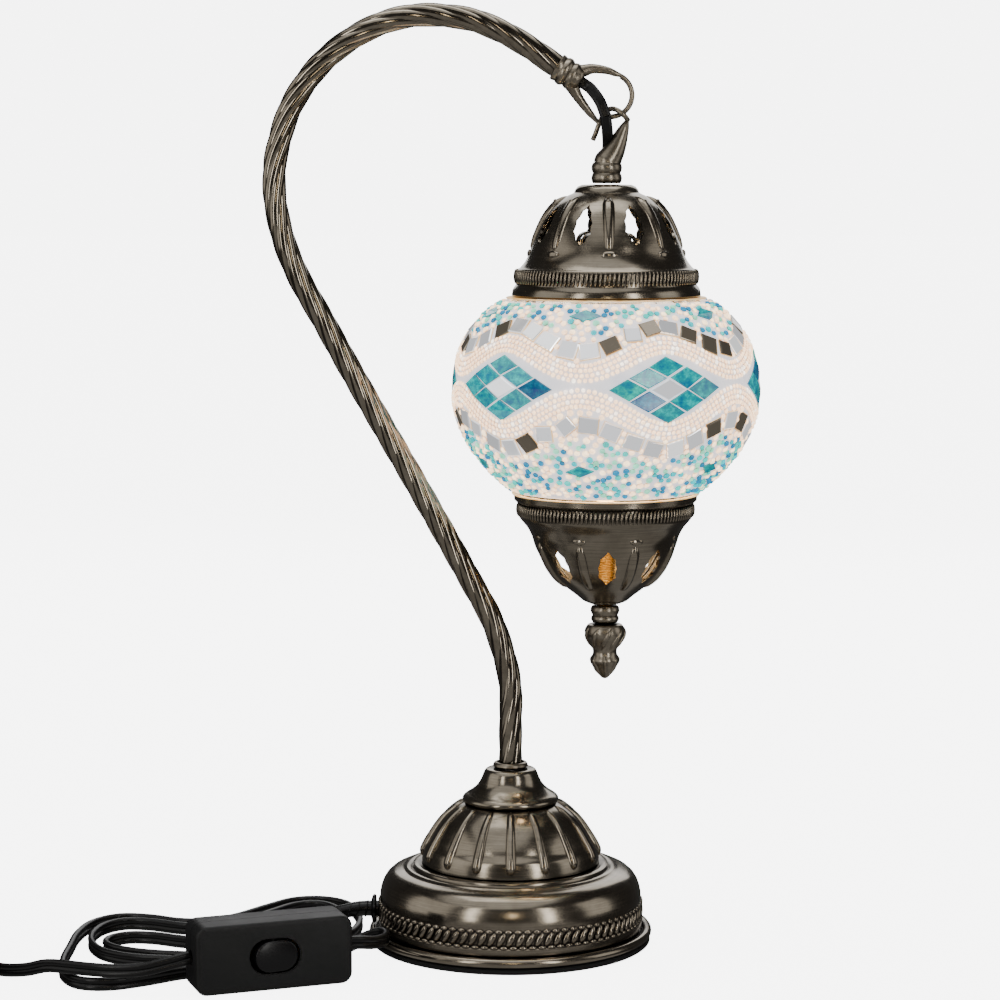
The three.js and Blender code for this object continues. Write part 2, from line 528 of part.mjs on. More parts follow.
function addPlug() {
  const group = new THREE.Group();
  group.position.set(-224, -9, 5.2);
  lamp.add(group);
  const outline = new THREE.Shape([[-2.9, 0], [2.9, 0], [3.4, 9], [9.6, 14], [10, 30], [8.6, 34], [-8.6, 34], [-10, 30],
    [-9.6, 14], [-3.4, 9]].map(([x, y]) => new THREE.Vector2(x, y)));
  const body = new THREE.ExtrudeGeometry(outline, { depth: 7.6, bevelSize: 1.2, bevelThickness: 1.2, bevelSegments: 1 })
    .translate(0, 1.3, -3.8);
  piece('plug_body', body, blackPlastic, group);
  [-1, 1].forEach((side) => {
    const blade = cut(box(1.5, 17, 6.3, side * 6.35, 45.4, 0), new THREE.CylinderGeometry(1.6, 1.6, 4, 12)
      .rotateZ(Math.PI / 2).translate(side * 6.35, 50, 0));
    piece(`plug_blade_${side < 0 ? 'left' : 'right'}`, blade, brass, group);
  });
}

addBase();
addGland();
addArm();
addArmHead();
addHook();
addTopCap();
addGallery();
addGlobe();
addBottomCap();
addSwitch();
addLead();
addPlug();

export default lamp;
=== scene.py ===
import math
import random

import bpy
import numpy as np
from mathutils import Matrix, Vector


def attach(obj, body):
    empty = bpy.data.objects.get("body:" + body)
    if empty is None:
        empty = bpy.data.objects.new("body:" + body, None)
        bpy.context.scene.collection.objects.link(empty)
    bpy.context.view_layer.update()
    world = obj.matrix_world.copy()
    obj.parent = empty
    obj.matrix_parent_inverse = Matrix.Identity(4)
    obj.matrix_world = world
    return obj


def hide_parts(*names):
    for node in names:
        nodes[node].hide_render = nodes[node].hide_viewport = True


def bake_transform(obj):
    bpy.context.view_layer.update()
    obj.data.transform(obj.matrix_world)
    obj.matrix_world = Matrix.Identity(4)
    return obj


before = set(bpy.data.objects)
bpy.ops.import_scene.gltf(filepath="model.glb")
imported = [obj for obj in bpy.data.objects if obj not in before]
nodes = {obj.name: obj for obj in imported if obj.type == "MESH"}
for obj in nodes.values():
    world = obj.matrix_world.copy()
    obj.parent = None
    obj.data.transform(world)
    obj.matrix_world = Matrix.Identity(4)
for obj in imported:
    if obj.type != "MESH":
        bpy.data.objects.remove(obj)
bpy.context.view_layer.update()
mm = 0.001
shadeX = 37.0  # axis of the hanging shade, mm
front = -math.pi / 2
random.seed(11)


def clearSelection():
    if bpy.context.object and bpy.context.object.mode != "OBJECT":
        bpy.ops.object.mode_set(mode="OBJECT")
    bpy.ops.object.select_all(action="DESELECT")


def makeActive(thing):
    clearSelection()
    thing.select_set(True)
    bpy.context.view_layer.objects.active = thing


def settle(thing):
    # place, turn and size go into the mesh, so the object stays at the origin
    makeActive(thing)
    bpy.ops.object.transform_apply(location=True, rotation=True, scale=True)
    return thing


def outward(thing):
    makeActive(thing)
    bpy.ops.object.mode_set(mode="EDIT")
    bpy.ops.mesh.select_all(action="SELECT")
    bpy.ops.mesh.normals_make_consistent(inside=False)
    bpy.ops.object.mode_set(mode="OBJECT")
    return thing


def box(place, size):
    # a block, its middle and its size in mm
    clearSelection()
    bpy.ops.mesh.primitive_cube_add(size=1, location=[v * mm for v in place], scale=[v * mm for v in size])
    return settle(bpy.context.object)


def pin(place, radius, depth, turn=(0, math.pi / 2, 0), sides=24):
    # a round bar in mm, along X unless turned
    clearSelection()
    bpy.ops.mesh.primitive_cylinder_add(vertices=sides, radius=radius * mm, depth=depth * mm, rotation=turn,
                                        location=[v * mm for v in place])
    return settle(bpy.context.object)


def runModifier(thing, kind, **settings):
    makeActive(thing)
    modifier = thing.modifiers.new(kind.lower(), kind)
    for name, value in settings.items():
        setattr(modifier, name, value)
    bpy.ops.object.modifier_apply(modifier=modifier.name)
    return thing


def smoothShade(thing, degrees=40):
    makeActive(thing)
    bpy.ops.object.shade_smooth_by_angle(angle=math.radians(degrees))
    return thing


def fuse(things, name=None):
    clearSelection()
    for thing in things:
        thing.select_set(True)
    bpy.context.view_layer.objects.active = things[0]
    if len(things) > 1:
        bpy.ops.object.join()
    if name:
        things[0].name = name
    return things[0]


def copyRound(thing, count, centreX=0.0, firstAngle=0.0):
    # copies evenly round a vertical axis, all in one piece
    centre = Matrix.Translation((centreX * mm, 0, 0))
    everyOne = []
    for i in range(count):
        other = thing.copy()
        other.data = thing.data.copy()
        turn = Matrix.Rotation(firstAngle + 2 * math.pi * i / count, 4, "Z")
        other.data.transform(centre @ turn @ centre.inverted())
        bpy.context.collection.objects.link(other)
        everyOne.append(other)
    bpy.data.objects.remove(thing)
    return fuse(everyOne)


def smoothLine(points, between=6):
    # a smooth line through given points of any dimension
    line = []
    for i in range(len(points) - 1):
        p0 = points[max(i - 1, 0)]
        p1, p2 = points[i], points[i + 1]
        p3 = points[min(i + 2, len(points) - 1)]
        for k in range(between):
            t = k / between
            line.append(tuple(
                0.5 * (2 * b + (c - a) * t + (2 * a - 5 * b + 4 * c - d) * t * t
                       + (3 * b - a - 3 * c + d) * t ** 3)
                for a, b, c, d in zip(p0, p1, p2, p3)))
    line.append(tuple(points[-1]))
    return line


def evenLine(points, step):
    # the same line again with its points a fixed distance apart
    points = [np.array(p, float) for p in points]
    lengths = [0.0]
    for a, b in zip(points, points[1:]):
        lengths.append(lengths[-1] + float(np.linalg.norm(b - a)))
    count = max(2, round(lengths[-1] / step))
    marks = np.linspace(0, lengths[-1], count + 1)
    columns = [np.interp(marks, lengths, [p[k] for p in points]) for k in range(len(points[0]))]
    return [tuple(row) for row in np.stack(columns, 1)]


def spinUp(name, outline, sides=96, centreX=0.0):
    # a closed outline of (radius, height) in mm spun round a vertical axis
    clearSelection()
    r, z = outline[0]
    bpy.ops.mesh.primitive_plane_add(size=0.0001, location=((centreX + r) * mm, 0, z * mm))
    turned = bpy.context.object
    turned.name = name
    settle(turned)
    bpy.ops.object.mode_set(mode="EDIT")
    bpy.ops.mesh.select_all(action="SELECT")
    bpy.ops.mesh.merge(type="CENTER")
    for (r0, z0), (r1, z1) in zip(outline, outline[1:]):
        step = ((r1 - r0) * mm, 0, (z1 - z0) * mm)
        bpy.ops.mesh.extrude_region_move(TRANSFORM_OT_translate={"value": step})
    bpy.ops.mesh.select_all(action="SELECT")
    bpy.ops.mesh.spin(steps=sides, angle=2 * math.pi, center=(centreX * mm, 0, 0), axis=(0, 0, 1))
    bpy.ops.mesh.select_all(action="SELECT")
    bpy.ops.mesh.remove_doubles(threshold=0.000004)
    bpy.ops.mesh.normals_make_consistent(inside=False)
    bpy.ops.object.mode_set(mode="OBJECT")
    return smoothShade(turned)


def rod(name, points, radii, corners=4, between=5):
    # a round bar along points in mm, its radius changing smoothly from end to end
    line = smoothLine([tuple(p) for p in points], between)
    curve = bpy.data.curves.new(name, "CURVE")
    curve.dimensions = "3D"
    curve.bevel_depth = mm
    curve.bevel_resolution = corners
    curve.use_fill_caps = True
    spline = curve.splines.new("POLY")
    spline.points.add(len(line) - 1)
    for i, p in enumerate(line):
        spline.points[i].co = (p[0] * mm, p[1] * mm, p[2] * mm, 1)
        spline.points[i].radius = float(np.interp(i / (len(line) - 1), np.linspace(0, 1, len(radii)), radii))
    makeActive(addPiece(name, curve))
    bpy.ops.object.convert(target="MESH")
    return smoothShade(bpy.context.object, 50)


def plate(name, outline, depth, bevel=0.0):
    # a flat outline of (x, z) in mm, pushed towards +Y by its depth
    clearSelection()
    bpy.ops.mesh.primitive_circle_add(vertices=len(outline), radius=0.01, fill_type="NGON")
    flat = bpy.context.object
    flat.name = name
    for corner, (x, z) in zip(flat.data.vertices, outline):
        corner.co = (x * mm, 0, z * mm)
    bpy.ops.object.mode_set(mode="EDIT")
    bpy.ops.mesh.select_all(action="SELECT")
    bpy.ops.mesh.extrude_region_move(TRANSFORM_OT_translate={"value": (0, depth * mm, 0)})
    bpy.ops.mesh.select_all(action="SELECT")
    bpy.ops.mesh.normals_make_consistent(inside=False)
    bpy.ops.object.mode_set(mode="OBJECT")
    if bevel:
        runModifier(flat, "BEVEL", width=bevel * mm, segments=3, limit_method="ANGLE")
    return flat


def roundedOutline(width, height, corner, steps=6):
    outline = []
    for quarter, (sx, sz) in enumerate([(1, 1), (-1, 1), (-1, -1), (1, -1)]):
        middleX, middleZ = sx * (width / 2 - corner), sz * (height / 2 - corner)
        for k in range(steps + 1):
            a = (quarter + k / steps) * math.pi / 2
            outline.append((middleX + corner * math.cos(a), middleZ + corner * math.sin(a)))
    return outline


def cutAway(thing, cutter):
    makeActive(cutter)
    runModifier(thing, "BOOLEAN", operation="DIFFERENCE", object=cutter, solver="EXACT")
    bpy.data.objects.remove(cutter)
    return thing


def moved(thing, x=0.0, y=0.0, z=0.0):
    thing.data.transform(Matrix.Translation((x * mm, y * mm, z * mm)))
    return thing


def addPiece(name, mesh):
    piece = bpy.data.objects.new(name, mesh)
    bpy.context.collection.objects.link(piece)
    return piece


def skinRings(name, rings):
    # a closed skin over equal rings of points in metres, with a flat cap at each end
    count = len(rings[0])
    last = (len(rings) - 1) * count
    faces = []
    for i in range(len(rings) - 1):
        for k in range(count):
            n = (k + 1) % count
            faces.append((i * count + k, i * count + n, (i + 1) * count + n, (i + 1) * count + k))
    faces.append(tuple(reversed(range(count))))
    faces.append(tuple(last + k for k in range(count)))
    mesh = bpy.data.meshes.new(name)
    mesh.from_pydata([p for ring in rings for p in ring], [], faces)
    return outward(addPiece(name, mesh))


def finishPiece(thing, material, body, slot, *standsFor):
    thing.data.materials.clear()
    thing.data.materials.append(material)
    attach(thing, body)
    if standsFor:
        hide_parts(*standsFor)
    return thing


cameraSetup = {"place": (-0.00414, -1.148, 0.3023), "dip": 6.33, "lens": 106.56}
camera = bpy.data.objects.new("camera", bpy.data.cameras.new("camera"))
camera.location = cameraSetup["place"]
camera.rotation_euler = (math.radians(90 - cameraSetup["dip"]), 0, 0)
camera.data.lens = cameraSetup["lens"]
camera.data.sensor_width = 36
camera.data.clip_end = 100
bpy.context.collection.objects.link(camera)
bpy.context.scene.camera = camera
print("camera placed")


# finishes
def startMaterial(name, **values):
    material = bpy.data.materials.new(name)
    material.use_nodes = True
    tree = material.node_tree
    shader = tree.nodes["Principled BSDF"]
    for socket, value in values.items():
        shader.inputs[socket.replace("_", " ")].default_value = value
    return material, tree, shader


def addNode(tree, kind, **values):
    node = tree.nodes.new(kind)
    for name, value in values.items():
        if name in node.inputs:
            node.inputs[name].default_value = value
        else:
            setattr(node, name, value)
    return node


def objectPattern(tree, scale, centre=(0, 0, 0)):
    coords = addNode(tree, "ShaderNodeTexCoord")
    mapping = addNode(tree, "ShaderNodeMapping")
    mapping.inputs["Scale"].default_value = scale
    mapping.inputs["Location"].default_value = centre
    tree.links.new(coords.outputs["Object"], mapping.inputs["Vector"])
    return mapping.outputs["Vector"]


def addNoise(tree, vector, scale, detail=3.0, roughness=0.55):
    noise = addNode(tree, "ShaderNodeTexNoise", Scale=scale, Detail=detail, Roughness=roughness)
    tree.links.new(vector, noise.inputs["Vector"])
    return noise.outputs["Fac"]


def addCloud(tree, scale, detail=3.0, roughness=0.55):
    return addNoise(tree, objectPattern(tree, (1, 1, 1)), scale, detail, roughness)


def addRamp(tree, value, stops):
    ramp = addNode(tree, "ShaderNodeValToRGB")
    while len(ramp.color_ramp.elements) < len(stops):
        ramp.color_ramp.elements.new(0.5)
    for element, (place, color) in zip(ramp.color_ramp.elements, stops):
        element.position = place
        element.color = (*color, 1) if len(color) == 3 else color
    tree.links.new(value, ramp.inputs["Fac"])
    return ramp.outputs["Color"]


def addMix(tree, factor, first, second, blend="MIX"):
    mix = addNode(tree, "ShaderNodeMix", data_type="RGBA", blend_type=blend)
    for socket, value in (("Factor", factor), ("A", first), ("B", second)):
        target = mix.inputs[0] if socket == "Factor" else mix.inputs[6 if socket == "A" else 7]
        if hasattr(value, "is_output"):
            tree.links.new(value, target)
        else:
            target.default_value = value if socket == "Factor" else (*value, 1)
    return mix.outputs[2]


def addRange(tree, value, low, high):
    spread = addNode(tree, "ShaderNodeMapRange")
    spread.inputs["To Min"].default_value = low
    spread.inputs["To Max"].default_value = high
    tree.links.new(value, spread.inputs["Value"])
    return spread.outputs["Result"]


def colorFrom(tree, shader, tone):
    # one tone both reflects and glows
    for socket in ("Base Color", "Emission Color"):
        tree.links.new(tone, shader.inputs[socket])


def addBump(tree, shader, height, strength, distance):
    bump = addNode(tree, "ShaderNodeBump", Strength=strength, Distance=distance)
    tree.links.new(height, bump.inputs["Height"])
    tree.links.new(bump.outputs["Normal"], shader.inputs["Normal"])


bronzeTones = {"bright": (0.31, 0.272, 0.215), "mid": (0.2, 0.173, 0.134), "dark": (0.022, 0.019, 0.015)}


def antiqueBronze(name, brush, roughness=(0.13, 0.27), patina=70.0, bump=0.05):
    # antique plating: fine brushing one way, cloudy patina, and painted shade that darkens the recesses
    material, tree, shader = startMaterial(name, Metallic=1.0)
    grain = addNoise(tree, objectPattern(tree, brush), 1.0, 4.0, 0.65)
    cloud = addCloud(tree, patina, 4.0, 0.6)
    tone = addRamp(tree, cloud, [(0.3, bronzeTones["mid"]), (0.62, bronzeTones["bright"])])
    streaks = addRamp(tree, grain, [(0.35, bronzeTones["dark"]), (0.6, bronzeTones["bright"])])
    lined = addMix(tree, 0.22, tone, streaks)
    # painted shade: ambient occlusion turns recesses and creases to the dark tone
    recess = addNode(tree, "ShaderNodeAmbientOcclusion", samples=6, Distance=0.0035)
    raised = addRamp(tree, recess.outputs["AO"], [(0.35, (0, 0, 0)), (0.85, (1, 1, 1))])
    shadedRecesses = addMix(tree, raised, bronzeTones["dark"], lined)
    tree.links.new(shadedRecesses, shader.inputs["Base Color"])
    tree.links.new(addRange(tree, grain, *roughness), shader.inputs["Roughness"])
    addBump(tree, shader, grain, bump, 0.0002)
    return material


spunBronze = antiqueBronze("spun bronze", (50, 50, 3200))
armBronze = antiqueBronze("drawn bronze", (260, 260, 260), (0.09, 0.17), 60.0, 0.012)
castBronze = antiqueBronze("cast bronze", (900, 900, 900), (0.24, 0.36), 160.0, 0.16)


def plainMetal(name, color, roughness, grainScale=(900, 900, 900)):
    material, tree, shader = startMaterial(name, Metallic=1.0)
    grain = addNoise(tree, objectPattern(tree, grainScale), 1.0, 3.0)
    darker = tuple(c * 0.6 for c in color)
    tree.links.new(addRamp(tree, grain, [(0.3, darker), (0.7, color)]), shader.inputs["Base Color"])
    tree.links.new(addRange(tree, grain, roughness * 0.75, roughness * 1.3), shader.inputs["Roughness"])
    addBump(tree, shader, grain, 0.1, 0.0002)
    return material


zincSteel = plainMetal("zinc plated steel", (0.55, 0.55, 0.53), 0.34)
rawIron = plainMetal("cast iron", (0.09, 0.09, 0.095), 0.7)
yellowBrass = plainMetal("yellow brass", (0.66, 0.47, 0.2), 0.3)


def moulded(name, color, roughness, grainSize, bump, coat=0.0):
    # moulded plastic or rubber with a fine skin
    material, tree, shader = startMaterial(name, Coat_Weight=coat, Coat_Roughness=0.2,
                                           Specular_IOR_Level=0.32)
    grain = addCloud(tree, grainSize, 3.0)
    marks = addCloud(tree, 60.0, 4.0)
    darker = tuple(c * 0.75 for c in color)
    tree.links.new(addRamp(tree, marks, [(0.3, darker), (0.7, color)]), shader.inputs["Base Color"])
    tree.links.new(addRange(tree, marks, roughness * 0.85, roughness * 1.15), shader.inputs["Roughness"])
    addBump(tree, shader, grain, bump, 0.0002)
    return material


switchPlastic = moulded("switch plastic", (0.006, 0.006, 0.0065), 0.5, 2600.0, 0.12)
glossPlastic = moulded("gloss plastic", (0.004, 0.004, 0.0045), 0.25, 2000.0, 0.03)
leadRubber = moulded("lead sheath", (0.004, 0.004, 0.0045), 0.33, 1400.0, 0.05)
foamRubber = moulded("foam pad", (0.008, 0.008, 0.008), 0.9, 1500.0, 0.5)
holderPlastic = moulded("holder plastic", (0.8, 0.74, 0.64), 0.45, 1500.0, 0.05)
print("metals and plastics mixed")

# lead and switch
leadSize = {"width": 5.2, "thickness": 2.6, "ringStep": 2.6}
gland = {"height": 12.2, "face": -52.6}
coilSize = {"x": -231.8, "y": -71.0, "inner": 27.3, "outer": 32.7, "low": 3.95, "high": 9.25,
            "joins": 59.0, "leaves": 35.0, "turns": 4}

# from the gland to the switch: an inner loop, two outer loops, the hairpin on the rim (metres)
lampRoute = [
    (-0.0759, 0, 0.0072), (-0.081, -0.001, 0.0054), (-0.0885, -0.0042, 0.0036), (-0.097, -0.0095, 0.0028),
    (-0.107, -0.0152, 0.0027), (-0.118, -0.0176, 0.0027), (-0.129, -0.0152, 0.0027),
    (-0.14, -0.01, 0.0027), (-0.15, -0.009, 0.0027), (-0.1568, -0.0144, 0.0027),
    (-0.1574, -0.0226, 0.0027), (-0.1515, -0.0302, 0.0027), (-0.141, -0.0356, 0.0027),
    (-0.128, -0.0385, 0.0027), (-0.113, -0.0396, 0.0027), (-0.099, -0.0366, 0.0027),
    (-0.087, -0.0298, 0.0027), (-0.077, -0.0196, 0.0027), (-0.0696, -0.007, 0.0027),
    (-0.0664, 0.007, 0.0027), (-0.0676, 0.022, 0.0027), (-0.072, 0.0346, 0.0027),
    (-0.0796, 0.041, 0.0027), (-0.0886, 0.0374, 0.0027), (-0.097, 0.026, 0.0027),
    (-0.107, 0.0125, 0.0027), (-0.119, 0.0046, 0.0027), (-0.131, 0.0054, 0.0027),
    (-0.1436, 0.0112, 0.0027), (-0.1544, 0.0124, 0.0027), (-0.162, 0.0046, 0.0027),
    (-0.1646, -0.008, 0.0027), (-0.1628, -0.022, 0.0027), (-0.1564, -0.0344, 0.0027),
    (-0.145, -0.0422, 0.0027), (-0.129, -0.0452, 0.0027), (-0.1126, -0.0462, 0.0027),
    (-0.0966, -0.043, 0.0027), (-0.0826, -0.0346, 0.0027), (-0.0714, -0.022, 0.0027),
    (-0.0638, -0.0076, 0.0027), (-0.0604, 0.008, 0.0027), (-0.0616, 0.025, 0.0027),
    (-0.0668, 0.04, 0.0027), (-0.077, 0.048, 0.0027), (-0.0894, 0.046, 0.0027), (-0.1004, 0.033, 0.0027),
    (-0.1104, 0.0196, 0.0027), (-0.121, 0.012, 0.0027), (-0.1326, 0.012, 0.0027), (-0.145, 0.018, 0.0027),
    (-0.1576, 0.0194, 0.0027), (-0.167, 0.0096, 0.0027), (-0.1706, -0.007, 0.0027),
    (-0.1708, -0.026, 0.0027), (-0.1706, -0.046, 0.0027), (-0.168, -0.063, 0.0027),
    (-0.1606, -0.0744, 0.0027), (-0.149, -0.0762, 0.0027), (-0.1366, -0.07, 0.0027),
    (-0.124, -0.061, 0.0027), (-0.11, -0.0546, 0.0027), (-0.096, -0.051, 0.0027),
    (-0.0826, -0.0446, 0.0027), (-0.072, -0.0354, 0.0028), (-0.064, -0.0276, 0.0036),
    (-0.0574, -0.0238, 0.006), (-0.051, -0.025, 0.0084), (-0.0482, -0.0306, 0.009),
    (-0.0486, -0.038, 0.0094), (-0.0522, -0.0464, 0.0106), (-0.057, -0.053, 0.0124),
    (-0.0616, -0.0563, 0.013),
]
# from the switch to the coil (metres)
plugRoute = [
    (-0.1193, -0.0772, 0.013), (-0.127, -0.0796, 0.0114), (-0.136, -0.0804, 0.0094),
    (-0.146, -0.0794, 0.0086), (-0.156, -0.0766, 0.0084), (-0.165, -0.0726, 0.0082),
    (-0.1736, -0.0678, 0.0074), (-0.1816, -0.0628, 0.0046), (-0.19, -0.0576, 0.0029),
    (-0.1976, -0.0532, 0.0027), (-0.206, -0.0482, 0.0031),
]
# from the coil down to the plug (metres)
tailRoute = [
    (-0.2106, -0.0444, 0.009), (-0.2164, -0.036, 0.0086), (-0.219, -0.031, 0.0078),
    (-0.2216, -0.0246, 0.0066), (-0.2234, -0.017, 0.0056), (-0.224, -0.0094, 0.0052),
]


def coilRoute():
    # bottom layer outside then inside, top layer inside then outside
    angles = math.radians(360 * coilSize["turns"] - (coilSize["joins"] - coilSize["leaves"]))
    steps = 36 * coilSize["turns"]
    columns = [coilSize["outer"], coilSize["inner"], coilSize["inner"], coilSize["outer"]]
    layers = [coilSize["low"], coilSize["low"], coilSize["high"], coilSize["high"]]
    route = []
    for i in range(steps + 1):
        turned = angles * i / steps
        turn = min(int(turned / (2 * math.pi)), 3)
        ease = min((turned - 2 * math.pi * turn) / math.radians(60), 1)
        ease = ease * ease * (3 - 2 * ease)
        last = max(turn - 1, 0)
        radius = columns[last] + (columns[turn] - columns[last]) * ease
        height = layers[last] + (layers[turn] - layers[last]) * ease
        a = math.radians(coilSize["joins"]) + turned
        route.append(((coilSize["x"] + radius * math.cos(a)) * mm,
                      (coilSize["y"] + radius * math.sin(a)) * mm, height * mm))
    return route


def flatLead(name, route, size, step):
    # a twin flat lead standing on its narrow edge along the route
    line = evenLine(smoothLine(route, 6), step * mm)
    half = size["width"] / 2 / 2.6 * mm
    thick = size["thickness"] / 2 / 1.3 * mm
    right = [(0, -2.6), (0.72, -2.44), (1.16, -2.0), (1.3, -1.4), (1.24, -0.8), (1.0, -0.38), (0.66, 0),
             (1.0, 0.38), (1.24, 0.8), (1.3, 1.4), (1.16, 2.0), (0.72, 2.44)]
    section = [(u * thick, v * half) for u, v in right] + [(-u * thick, -v * half) for u, v in right]
    rings = []
    for i, p in enumerate(line):
        ahead = Vector(line[min(i + 1, len(line) - 1)]) - Vector(line[max(i - 1, 0)])
        ahead.normalize()
        up = (Vector((0, 0, 1)) - ahead * ahead.z).normalized()
        side = ahead.cross(up)
        rings.append([tuple(Vector(p) + side * u + up * v) for u, v in section])
    lead = smoothShade(skinRings(name, rings), 35)
    length = sum(math.dist(a, b) for a, b in zip(line, line[1:]))
    return lead, line, length


lampLead, lampLine, lampLength = flatLead("lampLead", lampRoute, leadSize, leadSize["ringStep"])
finishPiece(lampLead, leadRubber, "stand", "black_flex", "cord_lamp_side")
plugLead, plugLine, plugLength = flatLead("plugLead", plugRoute + coilRoute() + tailRoute, leadSize,
                                          leadSize["ringStep"])
finishPiece(plugLead, leadRubber, "stand", "black_flex", "cord_plug_side", "cord_tail", "cord_coil")
print("lead laid: %.3f m to the switch, %.3f m to the plug" % (lampLength, plugLength))

# bush in the drum wall and the tapered sleeve that saves the lead from sharp bends
bush = spinUp("glandBush", [(2.4, -4.4), (4.2, -4.4), (4.2, -3.0), (3.1, -2.8), (3.1, 0.4), (5.2, 0.5),
                            (5.7, 1.0), (5.6, 1.6), (5.0, 2.1), (3.4, 2.5), (2.4, 2.6), (2.4, -4.4)], 40)
bush.rotation_euler = (0, -math.pi / 2, 0)
bush.location = (gland["face"] * mm, 0, gland["height"] * mm)
settle(bush)
finishPiece(bush, glossPlastic, "stand", "black_plastic", "grommet")
sleevePath = [(-54.6, 0, 12.2), (-59.5, 0, 12.1), (-64.6, 0, 11.3), (-69.6, 0, 10.0), (-75.2, 0, 7.6)]
sleeve = rod("strainSleeve", sleevePath, [3.1, 3.0, 2.85, 2.7, 2.6], 5)
grooves = []
for k in range(5):
    t = 0.12 + 0.17 * k
    at = [float(np.interp(t, np.linspace(0, 1, 5), [p[i] for p in sleevePath])) for i in range(3)]
    clearSelection()
    bpy.ops.mesh.primitive_torus_add(location=[v * mm for v in at],
                                     rotation=(0, math.pi / 2 + 0.12 + 0.35 * t, 0),
                                     major_radius=(3.05 - 0.35 * t) * mm, minor_radius=0.35 * mm,
                                     major_segments=28, minor_segments=8)
    grooves.append(smoothShade(settle(bpy.context.object)))
sleeve = fuse([sleeve] + grooves, "strainSleeve")
finishPiece(sleeve, glossPlastic, "stand", "black_plastic", "strain_relief")

switchSize = {"x": -90.5, "y": -66.8, "length": 60.0, "depth": 18.0, "height": 26.0, "yaw": 0.345,
              "corner": 4.2, "edge": 1.3, "recess": (19.6, 13.2), "button": (17.0, 11.8), "pivot": -4.2,
              "pressed": 6.0}


def putInSwitch(thing):
    thing.rotation_euler = (0, 0, switchSize["yaw"])
    thing.location = (switchSize["x"] * mm, switchSize["y"] * mm, switchSize["height"] / 2 * mm)
    return settle(thing)


def pillOutline(width, height, steps=10):
    r = height / 2
    ends = []
    for side in (1, -1):
        for k in range(steps + 1):
            a = side * (-math.pi / 2 + math.pi * k / steps) if side > 0 else math.pi / 2 + math.pi * k / steps
            ends.append((side * (width / 2 - r) + r * math.cos(a), r * math.sin(a)))
    return ends


halfDepth = switchSize["depth"] / 2
screwPlaces = ((-20, -7), (20, 7))
shellOutline = roundedOutline(switchSize["length"], switchSize["height"], switchSize["corner"])
innerOutline = roundedOutline(switchSize["length"] - 3.4, switchSize["height"] - 3.4, 3.0)
for half, low, high in (("switchFront", -halfDepth, -0.12), ("switchBack", 0.12, halfDepth)):
    shell = moved(plate(half, shellOutline, high - low), y=low)
    # only the outer face gets the soft edge
    outer = low if half == "switchFront" else high
    makeActive(shell)
    bpy.ops.object.mode_set(mode="EDIT")
    bpy.ops.mesh.select_all(action="DESELECT")
    bpy.ops.object.mode_set(mode="OBJECT")
    for edge in shell.data.edges:
        edge.select = all(abs(shell.data.vertices[v].co.y - outer * mm) < 1e-6 for v in edge.vertices)
    bpy.ops.object.mode_set(mode="EDIT")
    bpy.ops.mesh.bevel(offset=switchSize["edge"] * mm, segments=4, affect="EDGES")
    bpy.ops.object.mode_set(mode="OBJECT")
    hollowLow, hollowHigh = (low + 1.7, 1.0) if half == "switchFront" else (-1.0, high - 1.7)
    cutAway(shell, moved(plate("hollow", innerOutline, hollowHigh - hollowLow), y=hollowLow))
    for end in (-1, 1):
        cutAway(shell, pin((end * switchSize["length"] / 2, 0, 0), 2.95, 8))
    if half == "switchFront":
        cutAway(shell, moved(plate("recess", pillOutline(*switchSize["recess"]), 8), y=-12))
        rimOutline = pillOutline(*(side + 0.8 for side in switchSize["recess"]))
        cutAway(shell, moved(plate("rim", rimOutline, 0.5), y=-halfDepth - 0.1))
    else:
        for x, z in screwPlaces:
            cutAway(shell, pin((x, halfDepth, z), 3.0, 3.4, (math.pi / 2, 0, 0)))
    smoothShade(shell, 32)
    putInSwitch(shell)
    cadName = "switch_front" if half == "switchFront" else "switch_back"
    finishPiece(shell, switchPlastic, "stand", "black_plastic", cadName)

# rocker with a soft edge, pressed in at its right end
button = plate("rocker", pillOutline(*switchSize["button"]), 7.0, 0.7)
moved(button, y=-9.9 - switchSize["pivot"])
button.data.transform(Matrix.Rotation(math.radians(switchSize["pressed"]), 4, "Z"))
moved(button, y=switchSize["pivot"])
smoothShade(button, 30)
putInSwitch(button)
finishPiece(button, glossPlastic, "rocker", "black_plastic", "switch_rocker")

# slotted screws in the back of the switch
for number, (x, z) in enumerate(screwPlaces, 1):
    screwLine = [(0.0, 0.0), (1.1, 0.0), (1.1, 8.4), (2.6, 8.5), (2.55, 9.1), (1.9, 9.35), (0.0, 9.45)]
    screw = spinUp("switchScrew%d" % number, screwLine, 28)
    cutAway(screw, box((0, 0, 9.5), (6, 0.7, 1.0)))
    screw.data.transform(Matrix.Rotation(0.5 * number, 4, "Z"))
    screw.data.transform(Matrix.Translation((x * mm, -0.6 * mm, z * mm))
                         @ Matrix.Rotation(-math.pi / 2, 4, "X"))
    putInSwitch(screw)
    smoothShade(screw, 35)
    finishPiece(screw, zincSteel, "stand", "steel", "switch_screw_%d" % number)
print("switch built")

# tie round the coil: a flat strap with a buckle
tieSize = {"width": 10.2, "height": 12.6, "depth": 5.0}
tie = plate("coilTie", roundedOutline(tieSize["width"] + 1.8, tieSize["height"] + 0.6, 3.0),
            tieSize["depth"], 0.25)
hole = moved(plate("tieHole", roundedOutline(tieSize["width"], tieSize["height"] - 1.2, 2.3), 20), y=-5)
cutAway(tie, hole)
buckle = runModifier(box((-6.2, 2.5, 0), (1.6, 6.4, 4.4)), "BEVEL", width=0.4 * mm, segments=3)
tie = fuse([tie, buckle], "coilTie")
moved(tie, coilSize["x"] - 30, coilSize["y"] - 2.5, 6.6)
smoothShade(tie, 32)
finishPiece(tie, glossPlastic, "stand", "black_plastic", "coil_tie")

